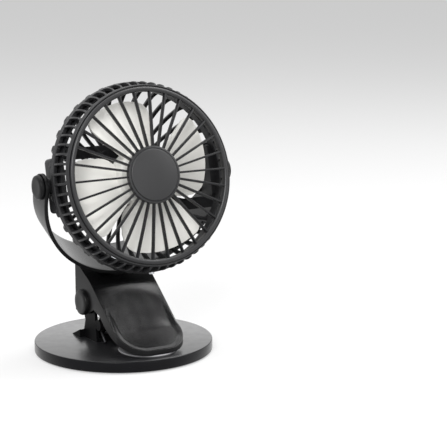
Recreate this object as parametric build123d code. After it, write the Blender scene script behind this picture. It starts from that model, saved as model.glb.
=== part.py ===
from build123d import *
import math
import os

# Clip fan on a round base, in millimetres.
# +Z is up, the fan blows towards -Y, and the origin is the centre of the base's underside.
# Head parts are drawn in the head's own frame: origin on the fan's axis a little ahead of the
# tilt axis, +Z along the airflow, +Y up. Yoke parts are drawn in the yoke's frame: origin on the
# tilt axis, +Z up the swivel axis.

# ---------------------------------------------------------------- driving dimensions
# Clearances
RUN = 0.08          # radial clearance of a shaft that turns in a hole
SEAT = 0.03         # radial clearance of a pin or screw that is held in its hole
FACE = 0.1          # gap between two faces that slide on each other
REST_GAP = 0.3      # gap between soft or curved faces that rest on each other
OVER = 1.0          # how far a cutter runs past the face it opens

# Base
BASE_R = 62.0
BASE_H = 8.0
BASE_WALL = 2.2
BASE_EDGE = 0.8
MAT_T = 0.9
MAT_INSET = 12.0            # mat's edge, in from the base's edge
COVER_T = 1.6
COVER_GAP = 0.3
WEIGHT_INSET = 8.0
WEIGHT_T = 2.6
BASE_SCREW_INSET = 20.0
BASE_SCREW_COUNT = 4
BASE_SCREW_START = 45.0
BOSS_WALL = 2.1             # plastic round a screw in its boss

# Screws: shank radius, the head's overhang past the shank, head height
M3_R = 1.5
M3_HEAD_LAP = 1.3
M3_HEAD_H = 1.6
M2_R = 1.0
M2_HEAD_LAP = 0.9
M2_HEAD_H = 1.2
SCREW_SLOT = 0.45    # depth of a cross slot, as a share of the head's height

# Clip hinge and jaw
HINGE_Y = 12.7
HINGE_Z = 34.0
PIN_R = 2.0
CAP_R = 9.0
CAP_T = 3.0
CAP_EDGE = 1.0
CAP_BLIND = 0.5      # how deep the pin runs into its cap, as a share of the cap
PAD_R = 20.0
PAD_T = 0.8
PAD_Y = -35.0
UPPER_PAD_T = 1.2
UPPER_PAD_W = 26.0
UPPER_PAD_L = 8.0
UPPER_PAD_PROUD = 0.4

# Clip arm
ARM_W = 49.0
ARM_WALL = 2.2
ARM_TOP_T = 2.6
ARM_REAR_Y = 25.0
ARM_REAR_LOW_Z = 26.0
ARM_FOLD_Y = 2.4
ARM_BEND_Y = -33.0
ARM_TIP_Y = -54.0
ARM_TIP_R = 18.0
ARM_UPPER_SLOPE = 37.66
ARM_LOWER_SLOPE = 27.5
ARM_HEEL = (-43.0, 13.4)
ARM_LOW_EDGE = [(6.3, 26.8), (-2.5, 31.7), (-12.0, 28.9), (-20.0, 22.3), (-30.0, 17.1), ARM_HEEL]
ARM_TIP_SOLID = 11.0        # length of the tip that has no hollow
ARM_FOLD_R = 14.0
DISH_RIM = 1.8
DISH_DEPTH = 1.1
DISH_TOP_Y = -5.5
DISH_ARCH = 9.0

# Bracket that carries the hinge
BRACKET_GAP = 0.4
BRACKET_PLATE_T = 2.2
BRACKET_FLANGE_T = 2.4
BRACKET_EYE_R = 8.0
BRACKET_FRONT_Y = -2.0
BRACKET_REAR_Y = 19.5
BRACKET_WAIST_Y = 15.4
BRACKET_WAIST_Z = 20.5
BRACKET_BROW_Y = 1.0
BRACKET_BROW_Z = 27.5
NECK_W = 5.0                # neck that carries the spring post's lug
LUG_WALL = 1.6
BRACKET_WEB_Y = 8.5
BRACKET_WEB_T = 2.0
BRACKET_WEB_H = 10.5
FOOT_REACH = 9.0
FOOT_OUT = 4.0
FOOT_H = 5.5
FOOT_LAP = 3.0
BRACKET_BOSS_H = 4.8
BRACKET_SCREW_L = 5.8
BRACKET_SCREW_IN = 5.7      # screws' places, in from the plates' inner faces
BRACKET_SCREW_DY = 7.5

# Torsion springs of the clip
SPRING_Y = -4.0
SPRING_Z = 20.5
SPRING_MEAN_R = 5.65
WIRE_R = 0.85
SPRING_TURNS = 3
COIL_GAP = 0.5              # between the turns of a coil
COIL_ROOM = 0.85            # between a coil and the bracket's plate
SPRING_LEG_ANGLE = -62.0    # place on the coil where the rear leg leaves, from +Y towards +Z
SPRING_FOOT_ANGLE = -50.0   # place on the coil where the front leg leaves
POST_ROOM = 0.4             # between a coil and the post inside it
POST_END_R = 2.2            # the post's stepped ends, held in the bracket's lugs

# Head: pivot, tilt, and the front grille
SWIVEL_Y = 15.077           # where the swivel axis meets the arm's top face
SWIVEL_Z = 56.7006
TILT = 12.8                 # the head looks up by this angle
AXIS_BACK = 5.0             # the tilt axis lies this far behind the head frame's origin
RING_FRONT = 21.5           # front ring's face ahead of the head frame's origin
RING_OUT_R = 60.4
RING_W = 4.7
RING_T = 4.3
RING_EDGE = 0.6
LIP_IN = 1.2                # the ring's bead is this much smaller than its outer lip
LIP_BACK = 1.3              # and the lip stands this far behind the bead's face
BAND_R = 64.3
BAND_FRONT = 5.5            # front edge of the smooth band
SEAM = 3.4                  # joint between the grille and the rear shell
GRILLE_WALL = 2.5
BAND_STEP = 0.4
WALL_BOW = [(0.145, 1.15), (0.36, 1.4), (0.57, 1.3), (0.79, 0.85)]  # share of the wall, outward bow
SIDE_RIBS = 60
SIDE_RIB_T = 1.5
SPOKES = 30
SPOKE_T = 1.3
SPOKE_DEPTH = 3.0
SPOKE_SINK = 0.6            # the spokes start this far behind the ring's and the disc's faces
SPOKE_LAP = 1.3             # and run this far into both
DISC_R = 17.4
DISC_RIM_W = 1.8
DISC_PROUD = 3.5
DISC_T = 1.4
DISC_RECESS = 0.9
DISC_RIM_EDGE = 0.4

# Rear shell
BAND_REAR = 2.2
SPIGOT_FRONT = 8.5
SPIGOT_T = 1.2
SPIGOT_GAP = 0.4
SPIGOT_DRAFT = 0.8
BAND_TAIL = 1.6             # rounded rear end of the band, behind BAND_REAR
CAGE_KNEE_IN = 5.8          # the cage's knee, in from the band
CAGE_KNEE_Z = -11.4
CAGE_BACK = -22.5
CAGE_RIBS = 36
CAGE_RIB_START = 7.5
CAGE_RIB_T = 2.4
CAGE_RIB_DEPTH = 2.4
CAGE_RIB_PROUD = 0.7
CAGE_FOOT_T = 3.5           # each rib is wider where it leaves the band
CAGE_FOOT_L = 6.7
HUB_PLATE_LAP = 1.0         # the hub plate reaches this far past the rear housing
HUB_PLATE_T = 2.0
RIB_ROOT = 0.6              # how far the cage ribs run into the hub plate
MOTOR_ARM_OFF = 21.0        # the straight motor arms pass the fan's axis at this distance
MOTOR_ARM_W = 8.0
MOTOR_ARM_T = 3.8
POD_SINK = 1.8              # the pods' faces, in from the band
POD_H = 36.0
POD_REAR = -10.5
POD_DEPTH = 8.0
POD_CORNER_R = 3.0
STUB_R = 5.0

# Motor and impeller
MOTOR_R = 14.0
MOTOR_FRONT = 1.0
MOTOR_SEAT = 3.0            # floor under the motor, from the cage's rear face
MOTOR_CUP_T = 1.8
MOTOR_CUP_FRONT = -5.0
BUSH_R = 4.0
BUSH_L = 1.5
SHAFT_R = 1.0
SHAFT_SINK = 2.0            # shaft's end below the impeller's face
FAN_HUB_ROOM = 5.0          # fan hub's radius past the motor's
FAN_HUB_FRONT = 12.0
FAN_HUB_REAR = -2.5
FAN_HUB_WALL = 1.6
FAN_HUB_EDGE = 1.5
FAN_BOSS_R = 3.0
BLADES = 4
BLADE_START = 17.0
BLADE_ROOM = 10.6           # between the blades' tips and the inside of the wall
BLADE_ANGLE = 30.0          # from the blade's middle to its straight front edge
BLADE_LOBE = [(0.345, -40.0), (0.51, -48.6), (0.59, -47.7), (0.685, -43.2), (0.766, -41.2), (0.861, -37.5),
              (0.975, -32.0)]  # the full rear edge: share of the tip radius, angle
BLADE_MID_SWELL = 1.02      # the tip's radius grows from the rear corner to the front one
BLADE_FRONT_SWELL = 1.055
BLADE_START_X = 12.0        # the blade's surface is drawn from here out, along its middle
BLADE_ROOT_LOW = -19.8      # and is this wide there
BLADE_ROOT_HIGH = 8.9
BLADE_TIP_LOW = -29.6
BLADE_T = 1.5
BLADE_REAR = -2.0
BLADE_REAR_CORNER = 9.0
BLADE_FRONT_CORNER = 6.0

# Rear housing with the battery, the board, the button and the socket
HOUSING_R = 23.5
HOUSING_H = 13.5
HOUSING_WALL = 1.8
HOUSING_EDGE = 1.5
HOUSING_SCREW_INSET = 4.9
HOUSING_SCREWS = 3
HOUSING_SCREW_START = 90.0
HOUSING_BOSS_WALL = 1.6     # plastic round a housing screw's head
HOUSING_SCREW_SINK = 0.4    # the screw heads lie this far below the rear face
HUB_BOSS_H = 4.0
HUB_SCREW_L = 3.0           # how far the housing screws run into the shell
CELL_W = 24.0
CELL_H = 20.0
CELL_T = 5.0
CELL_CORNER_R = 1.5
BOARD_W = 24.0
BOARD_H = 24.0
BOARD_T = 1.2
BOARD_RISE = 5.2            # board's rear face above the housing's rear face
BOARD_POST_R = 1.5
POST_INSET = 2.0
SOCKET_W = 9.0
SOCKET_L = 7.4
SOCKET_H = 3.2
SOCKET_WALL = 0.4
SOCKET_INSET = 1.2
TONGUE_T = 0.7
BUTTON_R = 4.6
BUTTON_Y = 8.0
BUTTON_PROUD = 1.4
BUTTON_TRAVEL = 0.8
BUTTON_FLANGE_LAP = 1.2
BUTTON_FLANGE_T = 0.8
BUTTON_GAP = 0.1
SWITCH_W = 6.0
LIGHT_R = 1.0
LIGHT_Y = -1.0

# Yoke, swivel and tilt pivots
LEAN = 26.5                 # the yoke and the swivel axis lean forward by this angle
YOKE_ROOM = 3.7             # between the head's band and the yoke's middle line
YOKE_T = 2.5
YOKE_LOW_W = 30.0
YOKE_END_W = 18.0
SWIVEL_RISE = 4.333         # swivel boss above the arm's top face
SWIVEL_BOSS_R = 9.6
SWIVEL_BOSS_H = 2.3         # boss below the yoke's middle line
SWIVEL_STEP = 0.8           # each of washer, boss and pedestal is this much wider than the last
SWIVEL_WASHER_T = 0.8
SWIVEL_BOLT_R = 2.5
SWIVEL_HEAD_LAP = 2.1       # bolt head's and nut's reach past the bolt
SWIVEL_HEAD_H = 1.5
SWIVEL_SINK = 1.1           # the bolt's seat lies this far below the band's inner face
SWIVEL_BOLT_END = 1.0       # the bolt ends this far past the nut
NUT_H = 3.5
NUT_WASHER_LAP = 3.0
NUT_WASHER_T = 0.8
PIVOT_SCREW_R = 2.5
PIVOT_HEAD_LAP = 1.7
PIVOT_HEAD_H = 1.5
PIVOT_SCREW_L = 10.0
PIVOT_HOLE_END = 0.5
PIVOT_WASHER_LAP = 1.5      # past the stub it lies on
PIVOT_WASHER_T = 0.8
PIVOT_CAP_INSET = 0.8       # in from the ear's edge
PIVOT_CAP_T = 3.25
PIVOT_CAP_WALL = 1.2
PIVOT_CAP_EDGE = 1.2
PIVOT_CAP_ROOM = 1.0        # radial room round the screw's head inside the cap

# ---------------------------------------------------------------- values worked out from them
# Base, screws and bosses
MAT_R = BASE_R - MAT_INSET
WEIGHT_R = BASE_R - WEIGHT_INSET
BASE_SCREW_PCD_R = BASE_R - BASE_SCREW_INSET
BOSS_R = M3_R + BOSS_WALL
M3_HEAD_R = M3_R + M3_HEAD_LAP
M2_HEAD_R = M2_R + M2_HEAD_LAP
COVER_BASE = MAT_T
COVER_TOP = COVER_BASE + COVER_T
BASE_ROOF = BASE_H - BASE_WALL
PAD_TOP = BASE_H + PAD_T

# Yoke, swivel and tilt axis
LEAN_COS = math.cos(math.radians(LEAN))
LEAN_SIN = math.sin(math.radians(LEAN))
YOKE_R = BAND_R + YOKE_ROOM
YOKE_IN_R = YOKE_R - YOKE_T / 2
YOKE_OUT_R = YOKE_R + YOKE_T / 2
SWIVEL_BOSS_OUT = YOKE_R + SWIVEL_BOSS_H
SWIVEL_FACE = SWIVEL_BOSS_OUT + SWIVEL_RISE
SWIVEL_WASHER_R = SWIVEL_BOSS_R - SWIVEL_STEP
PEDESTAL_R = SWIVEL_BOSS_R + SWIVEL_STEP
SWIVEL_HEAD_R = SWIVEL_BOLT_R + SWIVEL_HEAD_LAP
NUT_R = SWIVEL_BOLT_R + SWIVEL_HEAD_LAP
NUT_WASHER_R = SWIVEL_BOLT_R + NUT_WASHER_LAP
PIVOT_Y = SWIVEL_Y - SWIVEL_FACE * LEAN_SIN
PIVOT_Z = SWIVEL_Z + SWIVEL_FACE * LEAN_COS
AXLE = Location((0, PIVOT_Y, PIVOT_Z), (90 - TILT, 0, 0))
HEAD = AXLE * Pos(0, 0, AXIS_BACK)
YOKE = Location((0, PIVOT_Y, PIVOT_Z), (LEAN, 0, 0))
PIVOT_HEAD_R = PIVOT_SCREW_R + PIVOT_HEAD_LAP
PIVOT_WASHER_R = STUB_R + PIVOT_WASHER_LAP
PIVOT_CAP_R = YOKE_END_W / 2 - PIVOT_CAP_INSET
PIVOT_CAP_FACE = YOKE_OUT_R + PIVOT_CAP_T

# Arm, bracket and springs
ARM_IN = ARM_W / 2 - ARM_WALL
ARM_TOP_RISE = ARM_TOP_T / math.cos(math.radians(ARM_UPPER_SLOPE))
PLATE_OUT = ARM_IN - BRACKET_GAP
PLATE_IN = PLATE_OUT - BRACKET_PLATE_T
PIN_END = ARM_W / 2 + CAP_T * CAP_BLIND
BRACKET_MID_Y = (BRACKET_FRONT_Y + BRACKET_REAR_Y) / 2
BRACKET_SCREW_X = PLATE_IN - BRACKET_SCREW_IN
SPRING_PITCH = 2 * WIRE_R + COIL_GAP
SPRING_OUT_X = PLATE_IN - WIRE_R - COIL_ROOM
POST_R = SPRING_MEAN_R - WIRE_R - POST_ROOM

# Head, motor and impeller
RING_IN_R = RING_OUT_R - RING_W
DISC_RIM_R = DISC_R + DISC_RIM_W
SEAM_SCREW_Z = (SEAM + BAND_FRONT) / 2
CAGE_KNEE_R = BAND_R - CAGE_KNEE_IN
HUB_PLATE_R = HOUSING_R + HUB_PLATE_LAP
POD_X = BAND_R - POD_SINK
MOTOR_L = MOTOR_FRONT - MOTOR_SEAT - CAGE_BACK
SHAFT_FRONT = FAN_HUB_FRONT - SHAFT_SINK
FAN_HUB_R = MOTOR_R + FAN_HUB_ROOM
BLADE_R = BAND_R - GRILLE_WALL - BLADE_ROOM
BLADE_FRONT = FAN_HUB_FRONT

# Rear housing
HOUSING_REAR = CAGE_BACK - HOUSING_H
HOUSING_IN = HOUSING_REAR + HOUSING_WALL
HOUSING_SCREW_R = HOUSING_R - HOUSING_SCREW_INSET
HOUSING_BOSS_R = M2_HEAD_R + HOUSING_BOSS_WALL
BOARD_Z = HOUSING_REAR + BOARD_RISE
BUTTON_FLANGE_R = BUTTON_R + BUTTON_FLANGE_LAP
FLANGE_REAR = HOUSING_IN + FACE
FLANGE_FRONT = FLANGE_REAR + BUTTON_FLANGE_T
SWITCH_H = BOARD_Z - FLANGE_FRONT - BUTTON_TRAVEL - FACE

os.makedirs("parts", exist_ok=True)


# ---------------------------------------------------------------- helpers
def save(name, *solids):
    """Write one named sub-part; several solids share it as separate pieces."""
    shape = solids[0] if len(solids) == 1 else Compound(children=list(solids))
    shape.label = name
    export_step(shape, f"parts/{name}.step")


def side_prism(face_points, half_width, centre_x=0.0):
    """A prism along X of an outline given as (y, z) points."""
    return side_solid(Polyline(*[(y, z) for y, z in face_points], close=True), half_width, centre_x)


def side_solid(wire, half_width, centre_x=0.0):
    """A prism along X of a closed outline whose plane is (y, z)."""
    face = make_face(wire)
    sheet = Plane.YZ.offset(centre_x) * face
    return extrude(sheet, amount=half_width, both=True)


def rod(radius, start, end):
    """A round bar between two points."""
    direction = Vector(*end) - Vector(*start)
    plane = Plane(origin=start, z_dir=direction)
    return extrude(plane * Circle(radius), amount=direction.length)


def x_rod(radius, x_low, x_high, y, z):
    return rod(radius, (x_low, y, z), (x_high, y, z))


def z_rod(radius, z_low, z_high, x=0.0, y=0.0):
    return rod(radius, (x, y, z_low), (x, y, z_high))


def turned(points):
    """Revolve a closed (radius, height) outline about Z."""
    outline = make_face(Polyline(*[(r, 0, z) for r, z in points], close=True))
    return revolve(outline, axis=Axis.Z)


def polar(radius, angle):
    turn = math.radians(angle)
    return radius * math.cos(turn), radius * math.sin(turn)


def mirror_x(solid):
    return mirror(solid, about=Plane.YZ)


def pan_screw(shank_r, head_r, head_h, shank_l):
    """A pan-head screw: shank down from z = 0, head above it, with a cross slot."""
    shank = z_rod(shank_r, -shank_l, 0)
    head = z_rod(head_r, 0, head_h)
    rim = head.edges().group_by(Axis.Z)[-1]
    head = fillet(rim, head_h * SCREW_SLOT)
    slot = Box(head_r * 1.1, head_r * 0.22, head_h, align=(Align.CENTER, Align.CENTER, Align.MIN))
    slot = Pos(0, 0, head_h * (1 - SCREW_SLOT)) * slot
    return shank + head - slot - Rot(0, 0, 90) * slot


# ---------------------------------------------------------------- base
def screw_places():
    step = 360 / BASE_SCREW_COUNT
    angles = [BASE_SCREW_START + step * k for k in range(BASE_SCREW_COUNT)]
    return [polar(BASE_SCREW_PCD_R, a) for a in angles]


def bracket_screw_places():
    return [
        (sx * BRACKET_SCREW_X, BRACKET_MID_Y + sy * BRACKET_SCREW_DY)
        for sx in (-1, 1) for sy in (-1, 1)
    ]


def make_base_plate():
    top = z_rod(BASE_R, MAT_T / 2, BASE_H)
    rims = top.edges().filter_by(GeomType.CIRCLE).group_by(Axis.Z)
    top = fillet(rims[-1] + rims[0], BASE_EDGE)
    top -= z_rod(BASE_R - BASE_WALL, 0, BASE_ROOF)
    for x, y in screw_places():
        top += z_rod(BOSS_R, COVER_TOP, BASE_ROOF, x, y)
        top -= z_rod(M3_R + SEAT, 0, BASE_ROOF, x, y)
    for x, y in bracket_screw_places():
        top -= z_rod(M3_R + SEAT, 0, BASE_H + OVER, x, y)
    save("base_plate", top)


def make_base_filling():
    """Weight, cover and mat that close the base plate from below."""
    weight = z_rod(WEIGHT_R, COVER_TOP, COVER_TOP + WEIGHT_T)
    cover = z_rod(BASE_R - BASE_WALL - COVER_GAP, COVER_BASE, COVER_TOP)
    mat = z_rod(MAT_R, 0, MAT_T)
    mat = chamfer(mat.edges().group_by(Axis.Z)[0], MAT_T / 3)
    for x, y in screw_places():
        weight -= z_rod(BOSS_R + REST_GAP, 0, BASE_ROOF, x, y)
        cover -= z_rod(M3_R + SEAT, 0, COVER_TOP + OVER, x, y)
        cover -= z_rod(M3_HEAD_R + REST_GAP, 0, COVER_BASE + M3_HEAD_H / 2, x, y)
        mat -= z_rod(M3_HEAD_R + REST_GAP, -OVER, MAT_T + OVER, x, y)
    for x, y in bracket_screw_places():
        weight -= z_rod(M3_HEAD_R + REST_GAP, 0, BASE_ROOF, x, y)
    save("weight_plate", weight)
    save("base_cover", cover)
    save("anti_slip_mat", mat)


def make_base_fittings():
    """Screws under the base and the soft pad on top of it."""
    seat_z = COVER_BASE + M3_HEAD_H / 2
    screw = pan_screw(M3_R, M3_HEAD_R, seat_z - MAT_T / 2, BASE_ROOF - seat_z)
    flip = Location((0, 0, seat_z), (180, 0, 0))
    save("base_screws", *[Pos(x, y, 0) * flip * screw for x, y in screw_places()])

    pad = z_rod(PAD_R, BASE_H, PAD_TOP, 0, PAD_Y)
    pad = fillet(pad.edges().group_by(Axis.Z)[-1], PAD_T / 2)
    save("jaw_pad", pad)


# ---------------------------------------------------------------- bracket, hinge and springs
def bracket_outline():
    """Side plate outline: foot, front edge, round eye, waist and rear edge, as (y, z)."""
    brow = Vector(BRACKET_BROW_Y, BRACKET_BROW_Z)
    front = Line((BRACKET_FRONT_Y, BASE_H), brow)
    eye_top = (HINGE_Y, HINGE_Z + BRACKET_EYE_R)
    rise = Line(brow, (HINGE_Y - BRACKET_EYE_R, HINGE_Z))
    crown = ThreePointArc(rise @ 1, eye_top, (HINGE_Y + BRACKET_EYE_R, HINGE_Z))
    drop_y, drop_z = polar(BRACKET_EYE_R, -30)
    shoulder = (HINGE_Y + drop_y, HINGE_Z + drop_z)
    waist = (BRACKET_WAIST_Y, BRACKET_WAIST_Z)
    back = Polyline(crown @ 1, shoulder, waist, (BRACKET_REAR_Y, BASE_H))
    foot = Line((BRACKET_REAR_Y, BASE_H), (BRACKET_FRONT_Y, BASE_H))
    return front + rise + crown + back + foot


def bracket_plate():
    """One side plate with its hinge eye, its lug for the spring post and its rear foot."""
    plate = side_solid(bracket_outline(), BRACKET_PLATE_T / 2, (PLATE_IN + PLATE_OUT) / 2)
    half = NECK_W / 2
    low, high = SPRING_Z - half, SPRING_Z + half
    neck = [(SPRING_Y, low), (HINGE_Y, low), (HINGE_Y, high), (SPRING_Y, high)]
    plate += side_prism(neck, BRACKET_PLATE_T / 2, (PLATE_IN + PLATE_OUT) / 2)
    plate += x_rod(POST_END_R + LUG_WALL, PLATE_IN, PLATE_OUT, SPRING_Y, SPRING_Z)
    plate -= x_rod(POST_END_R + SEAT, 0, ARM_W, SPRING_Y, SPRING_Z)
    plate -= x_rod(PIN_R + RUN, 0, ARM_W, HINGE_Y, HINGE_Z)
    foot_half = (BRACKET_PLATE_T + FOOT_OUT) / 2
    foot_y = BRACKET_REAR_Y - FOOT_LAP
    foot = [(foot_y, BASE_H), (BRACKET_REAR_Y + FOOT_REACH, BASE_H), (foot_y, BASE_H + FOOT_H)]
    return plate + side_prism(foot, foot_half, PLATE_IN + foot_half)


def make_bracket():
    on_base = (Align.CENTER, Align.CENTER, Align.MIN)
    plate = bracket_plate()
    floor = Box(PLATE_OUT * 2, BRACKET_REAR_Y - BRACKET_FRONT_Y, BRACKET_FLANGE_T, align=on_base)
    web = Box(PLATE_OUT * 2, BRACKET_WEB_T, BRACKET_WEB_H, align=on_base)
    body = plate + mirror_x(plate) + Pos(0, BRACKET_MID_Y, BASE_H) * floor
    body += Pos(0, BRACKET_WEB_Y, BASE_H) * web
    for x, y in bracket_screw_places():
        body += z_rod(BOSS_R, BASE_H, BASE_H + BRACKET_BOSS_H, x, y)
        body -= z_rod(M3_R + SEAT, 0, BASE_ROOF + BRACKET_SCREW_L + SEAT, x, y)
    save("hinge_bracket", body)

    screw = pan_screw(M3_R, M3_HEAD_R, M3_HEAD_H, BRACKET_SCREW_L)
    flip = Location((0, 0, BASE_ROOF), (180, 0, 0))
    save("bracket_screws", *[Pos(x, y, 0) * flip * screw for x, y in bracket_screw_places()])
    barrel = x_rod(POST_R, FACE - PLATE_IN, PLATE_IN - FACE, SPRING_Y, SPRING_Z)
    save("spring_post", barrel + x_rod(POST_END_R, -PLATE_OUT, PLATE_OUT, SPRING_Y, SPRING_Z))


def make_hinge():
    save("hinge_pin", x_rod(PIN_R, -PIN_END, PIN_END, HINGE_Y, HINGE_Z))
    cap = x_rod(CAP_R, ARM_W / 2, ARM_W / 2 + CAP_T, HINGE_Y, HINGE_Z)
    cap = fillet(cap.edges().group_by(Axis.X)[-1], CAP_EDGE)
    cap -= x_rod(PIN_R + SEAT, 0, PIN_END + SEAT, HINGE_Y, HINGE_Z)
    save("hinge_caps", cap, mirror_x(cap))


def biarc(start, start_dir, end, end_dir):
    """Two arcs that join two points of a curve and keep its direction at both."""
    chord = end - start
    both = start_dir + end_dir
    spread = 2 * (1 - start_dir.dot(end_dir))
    along = chord.dot(both)
    reach = (-along + math.sqrt(along * along + spread * chord.dot(chord))) / spread
    first = start + start_dir * reach
    last = end - end_dir * reach
    middle = (first + last) * 0.5
    middle_dir = (last - first).normalized()
    return TangentArc(start, middle, tangent=start_dir), TangentArc(middle, end, tangent=middle_dir)


def coil_point(turns):
    """Point and direction on the coil after a number of turns from the rear leg."""
    total = SPRING_TURNS + (SPRING_LEG_ANGLE - SPRING_FOOT_ANGLE) / 360
    angle = math.radians(SPRING_LEG_ANGLE - 360 * turns)
    x = SPRING_OUT_X - SPRING_PITCH * (total - turns)
    point = Vector(x, SPRING_Y + SPRING_MEAN_R * math.cos(angle), SPRING_Z + SPRING_MEAN_R * math.sin(angle))
    slope = SPRING_PITCH / (2 * math.pi * SPRING_MEAN_R)
    direction = Vector(slope, math.sin(angle), -math.cos(angle)).normalized()
    return point, direction


def coil_places():
    """Quarter-turn stations along the coil, the last one at the front leg."""
    total = SPRING_TURNS + (SPRING_LEG_ANGLE - SPRING_FOOT_ANGLE) / 360
    count = round(total * 4)
    return [coil_point(total * k / count) for k in range(count + 1)]


def spring_path():
    places = coil_places()
    start, start_dir = places[0]
    wall_y = ARM_REAR_Y - ARM_WALL - WIRE_R - REST_GAP
    rear = start - start_dir * ((wall_y - start.Y) / -start_dir.Y)
    end, end_dir = places[-1]
    floor_z = BASE_H + WIRE_R + REST_GAP
    front = end + end_dir * ((floor_z - end.Z) / end_dir.Z)
    path = [Line(rear, start)]
    for (p, p_dir), (q, q_dir) in zip(places, places[1:]):
        path += biarc(p, p_dir, q, q_dir)
    path.append(Line(end, front))
    return Wire(path)


def least_gap(path):
    """Least clear distance of the wire to itself, measured on points a turn or so apart."""
    steps = 900
    points = [path @ (k / steps) for k in range(steps + 1)]
    step_l = path.length / steps
    apart = int(math.pi * SPRING_MEAN_R / step_l)
    best = min(
        (points[i] - points[j]).length
        for i in range(0, steps, 3) for j in range(i + apart, steps + 1, 3)
    )
    return best - 2 * WIRE_R


def make_springs():
    path = spring_path()
    section = Plane(origin=path @ 0, z_dir=path % 0) * Circle(WIRE_R)
    spring = sweep(section, path=path)
    expected = math.pi * WIRE_R ** 2 * path.length
    print(f"spring: least gap {least_gap(path):.2f} mm, volume ratio {spring.volume / expected:.4f}")
    save("torsion_springs", spring, mirror_x(spring))


# ---------------------------------------------------------------- clip arm
def arm_top_points():
    """Corners of the arm's top line from the rear edge to the tip, as (y, z)."""
    def on_face(y):
        return SWIVEL_Z + (y - SWIVEL_Y) * math.tan(math.radians(LEAN))
    fold = (ARM_FOLD_Y, on_face(ARM_FOLD_Y))
    drop = (ARM_FOLD_Y - ARM_BEND_Y) * math.tan(math.radians(ARM_UPPER_SLOPE))
    bend = (ARM_BEND_Y, fold[1] - drop)
    fall = (ARM_BEND_Y - ARM_TIP_Y) * math.tan(math.radians(ARM_LOWER_SLOPE))
    tip = (ARM_TIP_Y, bend[1] - fall)
    return (ARM_REAR_Y, on_face(ARM_REAR_Y)), fold, bend, tip


def top_line(depth):
    """The arm's top line, moved down by a depth, with its fold and bend rounded."""
    rear, fold, bend, tip = [(y, z - depth) for y, z in arm_top_points()]
    return FilletPolyline(rear, fold, bend, tip, radius=ARM_FOLD_R)


def above_line(depth, ceiling):
    """Closed outline of everything between a moved top line and a ceiling."""
    line = top_line(depth)
    rear, tip = line @ 0, line @ 1
    lid = Polyline(tip, (tip.X, ceiling), (rear.X, ceiling), rear)
    return line + lid


def cheek_outline():
    """Side outline of the whole arm: top line, rear edge, lower edge with its arch, and tip."""
    line = top_line(0)
    under_tip = (ARM_TIP_Y, PAD_TOP + REST_GAP)
    edge = Polyline(line @ 0, (ARM_REAR_Y, ARM_REAR_LOW_Z), *ARM_LOW_EDGE, under_tip, line @ 1)
    return line + edge


def plan_shape(inset, rear_y, arch):
    """Plan of the paddle, inset from its edge: straight sides and a round-cornered tip."""
    half = ARM_W / 2 - inset
    tip = ARM_TIP_Y + inset
    corner = ARM_TIP_R - inset
    cut = corner * (1 - math.sqrt(0.5))
    left = Line((-half, rear_y), (-half, tip + corner))
    left_corner = ThreePointArc(left @ 1, (-half + cut, tip + cut), (-half + corner, tip))
    front = Line((-half + corner, tip), (half - corner, tip))
    right_corner = mirror(left_corner, about=Plane.YZ)
    right = Line((half, tip + corner), (half, rear_y))
    back = Line((half, rear_y), (-half, rear_y))
    if arch:
        back = ThreePointArc((half, rear_y), (0, rear_y + arch), (-half, rear_y))
    return make_face([left, left_corner, front, right_corner, right, back])


def arm_hollow(tall):
    """The room under the arm's top, between its cheeks, its rear wall and its solid tip."""
    line = top_line(ARM_TOP_RISE)
    rear, tip = line @ 0, line @ 1
    under = line + Polyline(tip, (tip.X, 0), (rear.X, 0), rear)
    rear_in = ARM_REAR_Y - ARM_WALL
    tip_in = ARM_TIP_Y + ARM_TIP_SOLID
    room = Box(ARM_W, rear_in - tip_in, tall * 2)
    hollow = side_solid(under, ARM_IN) & Pos(0, (rear_in + tip_in) / 2, 0) * room
    return hollow & extrude(plan_shape(ARM_WALL, ARM_REAR_Y + OVER, 0), amount=tall)


def arm_dish(tall):
    """The shallow dish in the paddle's top, with a round end towards the fold."""
    dish = side_solid(above_line(DISH_DEPTH / math.cos(math.radians(ARM_UPPER_SLOPE)), tall), ARM_W / 2)
    return dish & extrude(plan_shape(DISH_RIM, DISH_TOP_Y - DISH_ARCH, DISH_ARCH), amount=tall)


def make_arm():
    tall = SWIVEL_Z + ARM_W
    body = side_solid(cheek_outline(), ARM_W / 2)
    body &= extrude(plan_shape(0, ARM_REAR_Y + OVER, 0), amount=tall)
    body -= arm_hollow(tall)
    body -= arm_dish(tall)
    pedestal_top = SWIVEL_BOSS_OUT + SWIVEL_WASHER_T + 2 * FACE
    body += YOKE * z_rod(PEDESTAL_R, -SWIVEL_FACE - ARM_TOP_T / 2, -pedestal_top)
    body -= YOKE * z_rod(SWIVEL_BOLT_R + RUN, -SWIVEL_FACE - ARM_TOP_RISE - OVER, -YOKE_IN_R)
    body -= x_rod(PIN_R + SEAT, -ARM_W, ARM_W, HINGE_Y, HINGE_Z)
    body -= upper_pad(SEAT)
    save("clip_arm", body)
    save("upper_jaw_pad", upper_pad(0))


def upper_pad(grow):
    """Pad set into the sloping underside of the tip, grown sideways and up by a clearance."""
    tip = Vector(ARM_TIP_Y, PAD_TOP + REST_GAP)
    heel = Vector(*ARM_HEEL)
    middle = (tip + heel) * 0.5
    slope = math.degrees(math.atan2(heel.Y - tip.Y, heel.X - tip.X))
    pad = Box(
        UPPER_PAD_W + grow * 2, UPPER_PAD_L + grow * 2, UPPER_PAD_T + grow,
        align=(Align.CENTER, Align.CENTER, Align.MIN))
    pad = fillet(pad.edges().filter_by(Axis.Z), UPPER_PAD_L / 4)
    return Location((0, middle.X, middle.Y), (slope, 0, 0)) * Pos(0, 0, -UPPER_PAD_PROUD) * pad


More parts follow.
